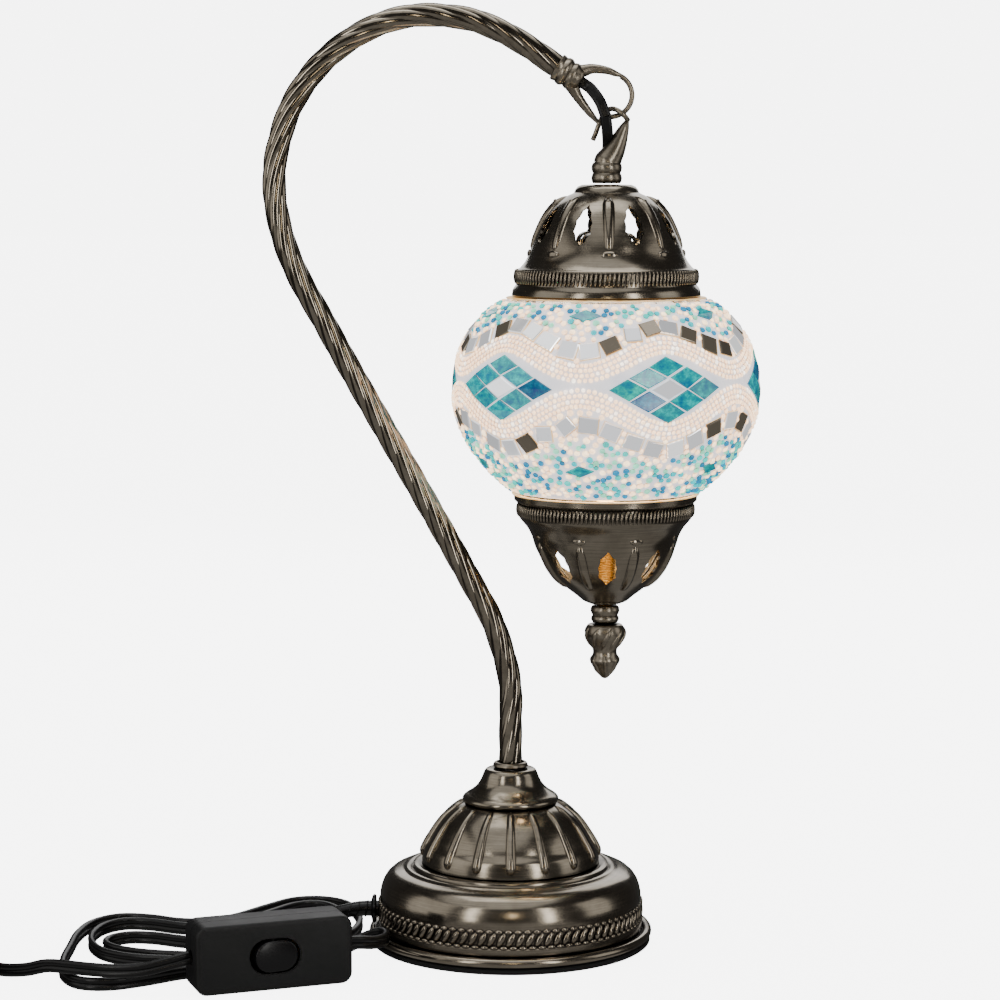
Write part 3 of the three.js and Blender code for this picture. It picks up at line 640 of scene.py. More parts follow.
# two-blade plug
plugAt = (-224.0, -9.0, 5.2)
plugOutline = [(-2.9, 0), (2.9, 0), (3.3, 5), (3.9, 9.5), (6.6, 11.6), (9.6, 14), (10.2, 18), (10, 30),
               (8.8, 34.4), (-8.8, 34.4), (-10, 30), (-10.2, 18), (-9.6, 14), (-6.6, 11.6), (-3.9, 9.5),
               (-3.3, 5)]
plugBody = plate("plugBody", plugOutline, 9.4, 1.5)
plugBody.data.transform(Matrix.Translation((0, 1.3 * mm, 4.7 * mm)) @ Matrix.Rotation(-math.pi / 2, 4, "X"))
ribs = []
for k in range(4):
    for side in (-1, 1):
        grip = box((side * 10.1, 18 + 3 * k, 0), (0.9, 1.2, 6))
        ribs.append(runModifier(grip, "BEVEL", width=0.3 * mm, segments=2))
plugBody = fuse([plugBody] + ribs, "plugBody")
moved(plugBody, *plugAt)
smoothShade(plugBody, 32)
finishPiece(plugBody, glossPlastic, "stand", "black_plastic", "plug_body")
for side in (-1, 1):
    blade = box((side * 6.35, 45.0, 0), (1.5, 17, 6.3))
    blade.name = "plugBlade" + ("Left" if side < 0 else "Right")
    runModifier(blade, "BEVEL", width=0.5 * mm, segments=3)
    cutAway(blade, pin((side * 6.35, 49.5, 0), 1.6, 6))
    moved(blade, *plugAt)
    smoothShade(blade, 32)
    finishPiece(blade, yellowBrass, "stand", "brass", "plug_blade_" + ("left" if side < 0 else "right"))

print("tie and plug added")

def walled(outer, wall):
    # closes an open outline, bottom to top, with the same line a wall's thickness further in
    inner = []
    for i, (r, z) in enumerate(outer):
        r0, z0 = outer[max(i - 1, 0)]
        r1, z1 = outer[min(i + 1, len(outer) - 1)]
        run = math.hypot(r1 - r0, z1 - z0) or 1
        inner.append((max(r - wall * (z1 - z0) / run, 0.4), z + wall * (r1 - r0) / run))
    return list(outer) + inner[::-1] + [outer[0]]


def radiusAt(outline, height):
    heights = [z for r, z in outline]
    return float(np.interp(height, heights, [r for r, z in outline]))


def lobe(name, width, height, proud, lean, radius, level, centreX=0.0, segments=10, rings=6):
    # one raised lobe of a knurled band, on the front of the band
    clearSelection()
    bpy.ops.mesh.primitive_uv_sphere_add(segments=segments, ring_count=rings, radius=1,
                                         scale=(width / 2 * mm, proud * mm, height / 2 * mm),
                                         rotation=(0, lean, 0),
                                         location=(centreX * mm, -radius * mm, level * mm))
    thing = settle(bpy.context.object)
    thing.name = name
    return thing


def onFront(points, centreX=0.0):
    # (radius, height) points moved to the front of a turned piece
    return [(centreX, -r, z) for r, z in points]


baseSize = {"wall": 1.1, "lobes": 88, "lobeLean": 0.5, "ribs": 16}
pad = spinUp("basePad", [(0, 0), (54.6, 0), (55.2, 0.5), (55.2, 1.6), (54.8, 2.0), (0, 2.0)], 128)
finishPiece(pad, foamRubber, "stand", "foam", "base_pad")

rimLine = [(53.9 + 1.9 * math.cos(math.radians(a)), 4.2 + 1.9 * math.sin(math.radians(a)))
           for a in range(-150, 151, 15)]
rim = spinUp("baseRim", [(16, 2.9)] + rimLine + [(51.4, 4.0), (16, 4.0), (16, 2.9)], 144)
finishPiece(rim, spunBronze, "stand", "bronze", "base_plate")

drumLine = [(51.2, 6.0), (51.9, 6.5), (52.0, 8.9), (51.6, 9.5), (51.0, 9.8), (51.0, 15.6), (51.5, 16.0),
            (51.6, 17.5), (51.5, 19.6), (51.1, 21.6), (50.3, 23.9), (49.0, 26.0), (47.2, 27.6),
            (45.0, 28.6), (42.8, 29.1), (41.9, 29.3), (41.3, 29.9), (40.3, 30.3), (39.4, 30.1),
            (38.9, 29.9), (38.5, 30.3), (38.3, 31.0), (37.5, 31.5), (36.4, 31.5), (35.6, 31.4),
            (31, 31.6)]
drum = spinUp("baseDrum", walled(drumLine, baseSize["wall"]), 160)
cutAway(drum, pin((-52, 0, gland["height"]), 3.4, 14, sides=32))
rope = copyRound(lobe("rope", 2.9, 6.4, 1.25, baseSize["lobeLean"], 51.2, 12.7, 0, 12, 10), baseSize["lobes"])
ropeEdges = [copyRound(lobe("ropeEdge", 3.4, 1.7, 0.8, 0, 51.6, z), baseSize["lobes"], 0,
                       turn * math.pi / baseSize["lobes"]) for z, turn in ((9.6, 0.5), (15.8, 1.5))]
drum = fuse([smoothShade(drum, 35), smoothShade(rope, 60)] + [smoothShade(e, 60) for e in ropeEdges],
            "baseDrum")
finishPiece(drum, spunBronze, "stand", "bronze", "base_drum")

domeLine = smoothLine([(35.0, 31.9), (34.9, 33.0), (34.2, 37.3), (32.4, 39.9), (31.2, 42.2), (29.8, 44.6),
                       (28.2, 47.0), (26.3, 49.4), (23.7, 51.8), (20.3, 54.2), (15.6, 56.4)], 3)
dome = spinUp("baseDome", walled(domeLine, baseSize["wall"]), 160)
ribHeights = [33.4, 34.2, 36.0, 39.0, 42.5, 46.0, 49.0, 51.4, 53.4, 54.8]
ribLine = onFront([(radiusAt(domeLine, z) - 0.7, z) for z in ribHeights])
rib = rod("rib", ribLine, [0.4, 1.5, 2.15, 2.15, 2.05, 1.9, 1.75, 1.6, 1.45, 0.4], 5, 4)
ribs = copyRound(rib, baseSize["ribs"])
dome = fuse([dome, smoothShade(ribs, 60)], "baseDome")
finishPiece(dome, spunBronze, "stand", "bronze", "base_dome")

cupLine = smoothLine([(18.3, 55.6), (18.9, 56.4), (18.8, 57.4), (17.8, 58.4), (16.2, 59.4), (13.8, 61.3),
                      (12.3, 63.2), (11.3, 65.2), (10.6, 67.0), (9.9, 68.2), (8.8, 68.8), (6.0, 68.9)], 3)
cup = spinUp("baseCup", walled(cupLine, 1.0), 112)
finishPiece(cup, spunBronze, "stand", "bronze", "base_cup")
seat = spinUp("seatRing", [(5.3, 69.2), (6.4, 69.2), (6.9, 69.9), (6.8, 70.6), (6.3, 71.2), (5.5, 71.4),
                           (5.3, 71.2), (5.3, 69.2)], 56)
finishPiece(seat, castBronze, "stand", "cast_bronze", "arm_seat_ring")
print("base built")

armSize = {"strand": 2.45, "ring": 2.2, "strands": 6, "turn": 74.0, "hand": 1.0}
armPoints = [
    (0, 70.2), (0, 86), (0, 100), (-2.1, 112), (-7.3, 127.6), (-15.7, 143.4), (-33.2, 175),
    (-59.9, 221.9), (-72.7, 245.1), (-81.4, 260.6), (-87.2, 274.5), (-90.6, 289), (-91.2, 301),
    (-89.6, 312), (-84.6, 327), (-75.6, 340.6), (-64.2, 351), (-50, 358.7), (-34.8, 362), (-17.6, 360.8),
    (-6.1, 357), (5.5, 350.8), (18.2, 342.2),
]
armLine = evenLine(smoothLine(armPoints, 8), 2.2)
strands = []
for strand in range(armSize["strands"]):
    path = []
    for i, (x, z) in enumerate(armLine):
        x0, z0 = armLine[max(i - 1, 0)]
        x1, z1 = armLine[min(i + 1, len(armLine) - 1)]
        run = math.hypot(x1 - x0, z1 - z0)
        turn = (armSize["hand"] * 2 * math.pi * i * 2.2 / armSize["turn"]
                + 2 * math.pi * strand / armSize["strands"])
        out = armSize["ring"] * math.cos(turn)
        path.append((x + out * (z1 - z0) / run, armSize["ring"] * math.sin(turn), z - out * (x1 - x0) / run))
    strands.append(rod("strand%d" % strand, path, [armSize["strand"]], 7, 1))
arm = fuse(strands, "arm")
finishPiece(arm, armBronze, "stand", "bronze", "arm")

headSize = {"x": 19.2, "z": 341.5, "tilt": 32.0}
headLine = [(5.0, -1.9), (5.35, -1.8), (5.4, -0.8), (5.1, 0.1), (5.6, 1.0), (5.75, 2.0), (5.4, 2.9),
            (4.85, 3.5), (5.2, 4.1), (5.5, 4.9), (5.35, 5.8), (4.9, 6.5), (4.7, 7.4), (4.3, 8.4),
            (3.7, 9.0), (3.1, 9.1), (3.1, 0.2), (5.0, -0.2), (5.0, -1.9)]
sleevePiece = spinUp("headSleeve", headLine, 48)
sleevePiece.data.transform(Matrix.Translation((headSize["x"] * mm, 0, headSize["z"] * mm))
                           @ Matrix.Rotation(math.radians(90 + headSize["tilt"]), 4, "Y"))
upperClaw = rod("upperClaw", [(24.4, 0, 340.4), (27.4, 0, 340.7), (31.5, 0, 341.6), (37, 0, 340.9),
                              (40, 0, 339.8), (43.2, 0, 338.7)], [3.2, 2.5, 1.9, 1.5, 1.2, 0.5], 6)
lowerClaw = rod("lowerClaw", [(22.6, 0, 336.6), (23.9, 0, 334.4), (26, 0, 330.6), (29.4, 0, 326),
                              (31.4, 0, 323.6), (33.6, 0, 321.1)], [3.0, 2.6, 1.9, 1.5, 1.2, 0.7], 6)
head = fuse([sleevePiece, upperClaw, lowerClaw], "armHead")
finishPiece(head, castBronze, "stand", "cast_bronze", "arm_head")
ringLine = []
for degrees in range(-118, 63, 12):
    a = math.radians(degrees)
    ringLine.append((38.4 + 8.2 * math.cos(a), 0, 331.5 + 8.2 * math.sin(a)))
hangingRing = rod("hangingRing", ringLine, [1.05], 5)
finishPiece(hangingRing, castBronze, "stand", "cast_bronze", "hanging_ring")

hookLine = [(45, -0.6, 322), (44.2, -2.2, 323), (42.8, -2.9, 324.4), (40.6, -2.2, 325.9), (38.4, 0, 326.3),
            (36.2, 2.4, 324.9), (34.4, 3.6, 321.4), (32.8, 3.6, 317), (31.7, 3.2, 314.4)]
hook = rod("shadeHook", hookLine, [1.0], 5)
finishPiece(hook, castBronze, "shade", "cast_bronze", "shade_hook")

collarLine = [(2.4, 297.9), (5.1, 297.8), (5.7, 298.4), (5.95, 299.8), (5.7, 301.1), (5.3, 301.8),
              (5.7, 302.5), (5.95, 303.9), (5.7, 305.1), (5.1, 305.9), (4.0, 306.1), (2.4, 306.1),
              (2.4, 297.9)]
collar = spinUp("collar", collarLine, 56, shadeX)
horn = rod("horn", [(37.1, 0, 305.0), (37.5, 0, 306.4), (38.7, 0, 308.4), (40.1, 0, 310.8),
                    (41.5, 0, 313.8), (42.8, 0, 317), (43.9, 0, 319.6), (44.8, 0, 321.9)],
           [5.3, 5.3, 4.7, 4.1, 3.4, 2.6, 1.8, 0.7], 7)
claw = fuse([collar, horn], "shadeClaw")
finishPiece(claw, castBronze, "shade", "cast_bronze", "shade_claw")

# the lead from the mouth of the arm down into the collar, in two lengths that meet at the ring
flexSize = {"width": 4.4, "thickness": 2.3, "sides": 20}
flexUpper = [(0.0262, 0, 0.3371), (0.0290, -0.0002, 0.3353), (0.0310, -0.0014, 0.3336),
             (0.0342, -0.0039, 0.3290), (0.03635, -0.0048, 0.3234)]
flexLower = [(0.03635, -0.0048, 0.3234), (0.0370, -0.0035, 0.3180), (0.0374, -0.0003, 0.3134),
             (0.0373, 0.0012, 0.3096), (0.0370, 0.0005, 0.3054), (0.0370, 0, 0.3000)]


def hangingFlex(name, route):
    # the same twin lead, its flat face towards the front
    line = evenLine(smoothLine(route, 8), 0.7 * mm)
    rings = []
    for i, p in enumerate(line):
        along = (Vector(line[min(i + 1, len(line) - 1)]) - Vector(line[max(i - 1, 0)])).normalized()
        across = along.cross(Vector((0, 1, 0))).normalized()
        deep = along.cross(across).normalized()
        ring = []
        for k in range(flexSize["sides"]):
            a = 2 * math.pi * k / flexSize["sides"]
            pinch = 1 - 0.28 * math.exp(-(math.cos(a) * 3.2) ** 2)
            ring.append(tuple(Vector(p) + across * (flexSize["width"] / 2 * mm * math.cos(a))
                              + deep * (flexSize["thickness"] / 2 * mm * math.sin(a) * pinch)))
        rings.append(ring)
    flex = skinRings(name, rings)
    flex.data.materials.append(leadRubber)
    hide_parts("lead_flex")
    return smoothShade(flex, 40)


upperFlex = hangingFlex("flexUpper", flexUpper)
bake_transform(upperFlex)
lowerFlex = hangingFlex("flexLower", flexLower)
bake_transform(lowerFlex)
print("arm and hanging parts built")

capSize = {"wall": 1.0, "sides": 160, "lobes": 128, "piercings": 8}


def radialCutters(outline, height, firstAngle):
    # pointed openings cut through a cap from outside, evenly round it
    cutter = moved(plate("opening", outline, 30), y=-42, z=height)
    moved(cutter, x=shadeX)
    return copyRound(cutter, capSize["piercings"], shadeX, firstAngle)


def scalloped(points, bite, steps=5):
    # each straight edge becomes a shallow curve biting into the opening
    outline = []
    for i, (x0, z0) in enumerate(points):
        x1, z1 = points[(i + 1) % len(points)]
        length = math.hypot(x1 - x0, z1 - z0)
        for k in range(steps):
            t = k / steps
            depth = bite * math.sin(math.pi * t)
            outline.append((x0 + (x1 - x0) * t - depth * (z1 - z0) / length,
                            z0 + (z1 - z0) * t + depth * (x1 - x0) / length))
    return outline


topLine = ([(36.3, 254.2), (36.6, 255.0), (36.3, 256.8), (35.7, 258.0), (35.0, 258.8)]
           + smoothLine([(34.9, 259.0), (34.9, 262.0), (34.3, 264.6), (33.2, 265.6), (31.4, 267.9),
                         (29.9, 271.0), (28.8, 274.0), (27.6, 277.0), (26.2, 280.2), (24.6, 283.4),
                         (22.7, 286.3), (20.4, 289.0), (17.8, 291.3), (14.9, 293.2)], 3)
           + [(13.2, 293.9), (12.6, 294.3), (12.2, 295.4), (11.2, 296.6), (9.6, 297.3), (6.0, 297.4)])
topCap = spinUp("topCap", walled(topLine, capSize["wall"]), capSize["sides"], shadeX)
leaf = scalloped([(0.4, 7.9), (-1.8, 5.2), (-3.4, 1.6), (-3.9, -2.4), (-2.6, -5.6), (-0.6, -7.9),
                  (1.6, -6.6), (3.5, -3.2), (3.5, 0.8), (2.2, 4.8)], 0.32)
cutAway(topCap, radialCutters(leaf, 282.2, math.pi / capSize["piercings"]))
smoothShade(topCap, 30)
fluteHeights = [271.8, 273.2, 276.0, 280.0, 284.0, 287.2, 289.6, 291.4, 292.6]
fluteLine = onFront([(radiusAt(topLine, z) - 1.15, z) for z in fluteHeights], shadeX)
flute = rod("flute", fluteLine, [0.5, 1.7, 2.2, 2.35, 2.45, 2.5, 2.4, 1.6, 0.5], 5, 4)
fluteFoot = lobe("fluteFoot", 6.6, 3.4, 1.0, 0, radiusAt(topLine, 270.8) - 0.3, 270.8, shadeX, 16, 8)
dot = lobe("fluteDot", 2.6, 2.6, 0.9, 0, radiusAt(topLine, 290.4) + 0.9, 290.6, shadeX, 12, 8)
flutes = copyRound(fuse([flute, smoothShade(fluteFoot, 60), smoothShade(dot, 60)]), 8, shadeX)
knurl = copyRound(lobe("knurl", 1.35, 5.8, 0.95, 0.1, 35.0, 262.0, shadeX, 8, 6), capSize["lobes"], shadeX)
topCap = fuse([topCap, flutes, smoothShade(knurl, 70)], "topCap")
finishPiece(topCap, spunBronze, "shade", "bronze", "top_cap")

bottomLine = (smoothLine([(6.0, 134.4), (8.6, 135.5), (11.0, 137.5), (16.1, 141.4), (20.7, 145.4),
                          (23.7, 149.4), (25.8, 153.3), (27.6, 157.3), (28.8, 161.2), (30.6, 164.6),
                          (32.6, 167.0), (33.6, 168.3)], 3)
              + [(33.8, 169.0), (33.8, 174.0), (34.8, 174.6), (35.6, 175.4), (35.7, 177.4)])
bottomCap = spinUp("bottomCap", walled(bottomLine, capSize["wall"]), capSize["sides"], shadeX)
hexagon = scalloped([(0.2, 7.0), (-2.8, 4.0), (-3.5, 0.4), (-3.3, -3.6), (-0.2, -7.0), (3.1, -4.0),
                     (3.5, 0.2), (3.0, 3.8)], 0.25)
cutAway(bottomCap, radialCutters(hexagon, 151.0, 0.0))
smoothShade(bottomCap, 30)
lowHeights = [141.8, 143.0, 146.0, 150.0, 154.0, 157.2, 159.4, 160.6]
lowLine = onFront([(radiusAt(bottomLine, z) - 1.2, z) for z in lowHeights], shadeX)
lowFlute = rod("lowFlute", lowLine, [0.5, 1.7, 2.2, 2.4, 2.4, 2.2, 1.6, 0.5], 5, 4)
lowFoot = lobe("lowFoot", 5.6, 2.8, 0.9, 0, radiusAt(bottomLine, 161.6) - 0.2, 161.8, shadeX, 16, 8)
lowFlutes = copyRound(fuse([lowFlute, smoothShade(lowFoot, 60)]), 8, shadeX, math.pi / 8)
lowKnurl = copyRound(lobe("lowKnurl", 1.35, 5.2, 0.95, 0.1, 34.0, 171.5, shadeX, 8, 6), capSize["lobes"],
                     shadeX)
bottomCap = fuse([bottomCap, lowFlutes, smoothShade(lowKnurl, 70)], "bottomCap")
finishPiece(bottomCap, spunBronze, "shade", "bronze", "bottom_cap")

# the strap loop inside, with a scroll curled up at each side under the openings
galleryLine = [(-27.7, 176), (-27.7, 200), (-27.7, 240), (-27.7, 262), (-27.3, 266), (-25.6, 269),
               (-22, 270.2), (0, 270.2), (22, 270.2), (25.6, 269), (27.3, 266), (27.7, 262), (27.7, 240),
               (27.7, 200), (27.7, 172), (27.3, 168.4), (25.6, 165.6), (22, 164.8), (0, 164.8),
               (-22, 164.8), (-25.6, 165.6), (-27.3, 168.4), (-27.7, 172), (-27.7, 176)]
strapOutline = [(shadeX + x, z) for x, z in galleryLine]


def strapPiece(name, line, width, wall):
    # a flat strip on edge, bent along (x, z) points
    clearSelection()
    left, right = [], []
    for i, (x, z) in enumerate(line):
        x0, z0 = line[max(i - 1, 0)]
        x1, z1 = line[min(i + 1, len(line) - 1)]
        run = math.hypot(x1 - x0, z1 - z0) or 1
        left.append((x - wall / 2 * (z1 - z0) / run, z + wall / 2 * (x1 - x0) / run))
        right.append((x + wall / 2 * (z1 - z0) / run, z - wall / 2 * (x1 - x0) / run))
    return moved(plate(name, left + right[::-1], width), y=-width / 2)


halves = []
for name, part in (("strapTop", strapOutline[:14]), ("strapLow", strapOutline[13:])):
    halves.append(strapPiece(name, part, 16, 1.5))
scrolls = []
for turn in range(8):
    curl = []
    for k in range(22):
        a = math.pi * 2.6 * k / 21
        reach = 4.4 - 3.2 * k / 21
        curl.append((reach * math.cos(a), 274.9 + reach * math.sin(a)))
    scroll = strapPiece("scroll", curl, 2.4, 0.9)
    scroll.data.transform(Matrix.Translation((0, -17.5 * mm, 0)))
    scroll.data.transform(Matrix.Rotation(2 * math.pi * (turn + 0.5) / 8, 4, "Z"))
    scrolls.append(moved(scroll, x=shadeX))
ledge = spinUp("ledge", [(9.0, 271.4), (23.0, 271.4), (23.6, 270.9), (23.0, 270.2), (9.0, 270.2),
                         (9.0, 271.4)], 64, shadeX)
gallery = fuse(halves + scrolls + [ledge], "gallery")
smoothShade(gallery, 35)
finishPiece(gallery, zincSteel, "shade", "steel", "gallery_strap")

# threaded tubes seen through the openings; the lower one ends in the stud that carries the finial
for name, low, high in (("bottomTube", 134.2, 175.8), ("topTube", 264.2, 297.2)):
    thread = [(3.3, low)]
    if name == "bottomTube":
        thread = [(0, 127.5), (2.3, 127.5)]
        for k in range(8):
            thread += [(2.75, 127.9 + 0.8 * k), (2.4, 128.3 + 0.8 * k)]
        thread.append((2.6, low - 0.1))
    for k in range(int(high - low)):
        thread += [(4.35, low + k), (4.9, low + k + 0.5)]
    thread += [(4.35, int(high - low) + low), (3.3, high)]
    thread += [(3.3, 137), (0, 137)] if name == "bottomTube" else [(3.3, low)]
    tube = spinUp(name, thread, 40, shadeX)
    if name == "bottomTube":
        finishPiece(tube, yellowBrass, "shade", "brass", "bottom_tube")
    else:
        finishPiece(tube, zincSteel, "shade", "steel", "top_tube")

ferruleLine = [(0, 126.7), (4.4, 126.7), (5.1, 127.2), (5.5, 128.0), (5.4, 129.0), (4.9, 129.6),
               (5.3, 130.3), (5.7, 131.4), (5.6, 132.6), (5.0, 133.4), (3.1, 133.5), (3.1, 127.1),
               (0, 127.1)]
ferrule = spinUp("ferrule", ferruleLine, 56, shadeX)
finishPiece(ferrule, castBronze, "finial_carrier", "cast_bronze", "finial_ferrule")

finialLine = smoothLine([(5.4, 126.3), (6.6, 126.0), (7.2, 125.2), (7.7, 123.7), (7.6, 121.7),
                         (6.6, 119.7), (5.5, 117.7), (4.7, 115.7), (4.9, 113.9), (5.5, 112.6),
                         (5.6, 111.4), (4.6, 109.8), (3.6, 107.8), (2.3, 106.0), (1.3, 104.9),
                         (0.4, 104.5)], 3)
finial = spinUp("finial", [(0, 126.4)] + finialLine + [(0, 104.5)], 72, shadeX)
upright = finialLine[::-1]
twists = []
for low, high, lean, thick in ((116.2, 125.4, 0.7, 1.0), (105.6, 114.2, -0.15, 0.8)):
    line = []
    for k in range(9):
        z = low + (high - low) * k / 8
        r = radiusAt(upright, z) - 0.35
        a = front + lean * (k / 8 - 0.5)
        line.append((shadeX + r * math.cos(a), r * math.sin(a), z))
    ridge = rod("ridge", line, [0.25, thick, thick * 1.05, thick, 0.25], 4, 3)
    twists.append(copyRound(ridge, 9 if low > 110 else 7, shadeX))
finial = fuse([finial] + twists, "finial")
smoothShade(finial, 60)
finishPiece(finial, castBronze, "finial", "cast_bronze", "finial")
print("caps and finial built")

# heights are of the outer surface; the pattern repeats six times round the globe
globeSize = {"diamondsAt": (-68.9, -4.9, 55.0, 113.0, 170.0, 226.0), "grout": 1.1, "groutWall": 0.8,
             "beadSize": 1.95, "rowGap": 1.95, "rows": (-1.5, -0.5, 0.5, 1.5),
             "upperBand": (233.6, 5.2), "lowerBand": (212.7, 6.4),
             "upperMirrors": (241.0, 4.4), "lowerMirrors": (203.9, 5.1), "mirrorsRound": 42,
             "diamond": (23.8, 13.2, 222.2), "topRhombus": (6.2, 3.4, 249.4), "lowRhombus": (5.6, 2.8, 190.2),
             "seeds": 4100, "tries": 90000, "seedSizes": (2.2, 3.1)}
tintColors = {"cream": (1.0, 0.68, 0.43), "clear": (1.0, 0.88, 0.76), "aqua": (0.01, 0.30, 0.27),
              "turquoise": (0.0, 0.25, 0.28), "teal": (0.0, 0.10, 0.20), "paleGreen": (0.13, 0.42, 0.28),
              "silver": (0.86, 0.87, 0.9), "dark": (0.10, 0.085, 0.065)}
globeLine = smoothLine([(36.4, 177.8), (44.1, 184.4), (52.2, 193.8), (57.4, 203.1), (60.0, 212.5),
                        (60.1, 222.0), (58.6, 231.2), (54.3, 240.5), (46.6, 249.2), (39.4, 253.9)], 5)
alongGlobe = [0.0]
for a, b in zip(globeLine, globeLine[1:]):
    alongGlobe.append(alongGlobe[-1] + math.dist(a, b))
globeR = [r for r, z in globeLine]
globeZ = [z for r, z in globeLine]
diamondAngles = [math.radians(a) for a in globeSize["diamondsAt"]]


def wavePhase(angle):
    # how far along the wave a place is: each diamond stands at a whole turn
    first = diamondAngles[0]
    turned = (angle - first) % (2 * math.pi)
    marks = [a - first for a in diamondAngles] + [2 * math.pi]
    return 2 * math.pi * float(np.interp(turned, marks, range(len(marks))))


def upGlobe(z):
    # distance along the outline from its bottom edge to a height
    return float(np.interp(z, globeZ, alongGlobe))


def girth(s):
    return float(np.interp(s, alongGlobe, globeR))


def globeFrame(angle, s):
    # place on the surface with its three directions: round, up the slope, outwards
    r, z = girth(s), float(np.interp(s, alongGlobe, globeZ))
    r1, z1 = girth(s + 0.6), float(np.interp(s + 0.6, alongGlobe, globeZ))
    r0, z0 = girth(s - 0.6), float(np.interp(s - 0.6, alongGlobe, globeZ))
    run = math.hypot(r1 - r0, z1 - z0)
    upR, upZ = (r1 - r0) / run, (z1 - z0) / run
    radial = Vector((math.cos(angle), math.sin(angle), 0))
    place = Vector((shadeX, 0, z)) + radial * r
    around = Vector((-math.sin(angle), math.cos(angle), 0))
    up = radial * upR + Vector((0, 0, upZ))
    return place, around, up, radial * upZ - Vector((0, 0, upR))


def bandHeight(band, angle):
    middle, swing = globeSize[band]
    sign = 1 if band.startswith("upper") else -1
    return upGlobe(middle + sign * swing * math.cos(wavePhase(angle)))


# a flat tile with a narrow bevelled edge, from corners drawn round and up the surface
def tileMesh(angle, s, corners, spin=0.0, low=-1.25, edge=-0.62, high=-0.35, inset=0.35, lean=(0, 0)):
    place, around, up, out = globeFrame(angle, s)
    middleX = sum(x for x, y in corners) / len(corners)
    middleY = sum(y for x, y in corners) / len(corners)
    levels = []
    for height, shrink in ((low, 0.0), (edge, 0.0), (high, inset)):
        level = []
        for x, y in corners:
            reach = math.hypot(x - middleX, y - middleY)
            k = max(reach - shrink * 1.35, 0) / reach
            x1, y1 = middleX + (x - middleX) * k, middleY + (y - middleY) * k
            x2 = x1 * math.cos(spin) - y1 * math.sin(spin)
            y2 = x1 * math.sin(spin) + y1 * math.cos(spin)
            if abs(x2) > 4 or abs(y2) > 4:
                # a far corner follows the curve of the globe
                at, _, _, out2 = globeFrame(angle + x2 / girth(s + y2), s + y2)
                spot = at + out2 * height
            else:
                spot = place + around * x2 + up * y2 + out * height
            level.append(spot + out * ((lean[0] * x2 + lean[1] * y2) if height > low else 0))
        levels.append(level)
    n = len(corners)
    faces = [tuple(reversed(range(n)))]
    for layer in (0, n):
        for k in range(n):
            m = (k + 1) % n
            faces.append((layer + k, layer + m, layer + n + m, layer + n + k))
    faces.append(tuple(2 * n + k for k in range(n)))
    return [p for level in levels for p in level], faces


def beadMesh(angle, s, size, depth, flat=0.85):
    # a small round bead, the same few faces every time
    place, around, up, out = globeFrame(angle, s)
    points = [place + out * (depth - size * flat / 2)]
    for level in (0.28, 0.62, 0.9):
        tall = -math.cos(math.pi * level) * size * flat / 2
        wide = math.sin(math.pi * level) * size / 2
        for k in range(8):
            a = 2 * math.pi * (k + 0.5) / 8
            points.append(place + around * (wide * math.cos(a)) + up * (wide * math.sin(a))
                          + out * (depth + tall))
    points.append(place + out * (depth + size * flat / 2))
    faces = []
    for k in range(8):
        m = (k + 1) % 8
        faces.append((0, 1 + m, 1 + k))
        for layer in (1, 9):
            faces.append((layer + k, layer + m, layer + 8 + m, layer + 8 + k))
        faces.append((17 + k, 17 + m, 25))
    return points, faces


def gather(name, parts, material, smooth=0):
    # many small parts in one piece, each with its own tint
    points, faces, tints = [], [], []
    for (partPoints, partFaces), tint in parts:
        start = len(points)
        points += [tuple(p * mm) for p in partPoints]
        faces += [tuple(start + k for k in face) for face in partFaces]
        tints += [(*tint, 1.0)] * len(partPoints)
    mesh = bpy.data.meshes.new(name)
    mesh.from_pydata(points, [], faces)
    layer = mesh.color_attributes.new("tint", "FLOAT_COLOR", "POINT")
    layer.data.foreach_set("color", np.array(tints, float).ravel())
    piece = addPiece(name, mesh)
    if smooth:
        smoothShade(piece, smooth)
    finishPiece(piece, material, "shade", "mosaic", "mosaic_layer")


def varied(color, spread):
    k = 1 + random.uniform(-spread, spread)
    return tuple(min(c * k, 1.0) for c in color)


litGlass = {"groutGlow": 1.35, "beadGlow": 3.4, "tileGlow": 0.85, "mirrorGlow": 0.9}


def tintedGlass(name, glow, roughness, marbled=False):
    # coloured glass lit from behind: its own tint both reflects and glows
    material, tree, shader = startMaterial(name, Roughness=roughness, Coat_Weight=0.5, Coat_Roughness=0.06,
                                           Emission_Strength=glow)
    tint = addNode(tree, "ShaderNodeAttribute", attribute_name="tint")
    color = tint.outputs["Color"]
    if marbled:
        swirl = addNoise(tree, objectPattern(tree, (1, 1, 1.3)), 260.0, 5.0, 0.7)
        veins = addRamp(tree, swirl, [(0.36, (0.2, 0.5, 0.9)), (0.5, (1, 1, 1)), (0.68, (1, 2.0, 1.7))])
        color = addMix(tree, 1.0, color, veins, "MULTIPLY")
        addBump(tree, shader, swirl, 0.35, 0.0003)
    else:
        cloud = addCloud(tree, 700.0, 2.0)
        patches = addRamp(tree, cloud, [(0.3, (0.72, 0.72, 0.72)), (0.65, (1, 1, 1))])
        color = addMix(tree, 1.0, color, patches, "MULTIPLY")
    # painted shade: ambient occlusion darkens the glass where beads and tiles crowd each other
    gaps = addNode(tree, "ShaderNodeAmbientOcclusion", samples=6, Distance=0.0011)
    shade = addRamp(tree, gaps.outputs["AO"], [(0.35, (0.3, 0.22, 0.17)), (0.85, (1, 1, 1))])
    color = addMix(tree, 1.0, color, shade, "MULTIPLY")
    colorFrom(tree, shader, color)
    return material


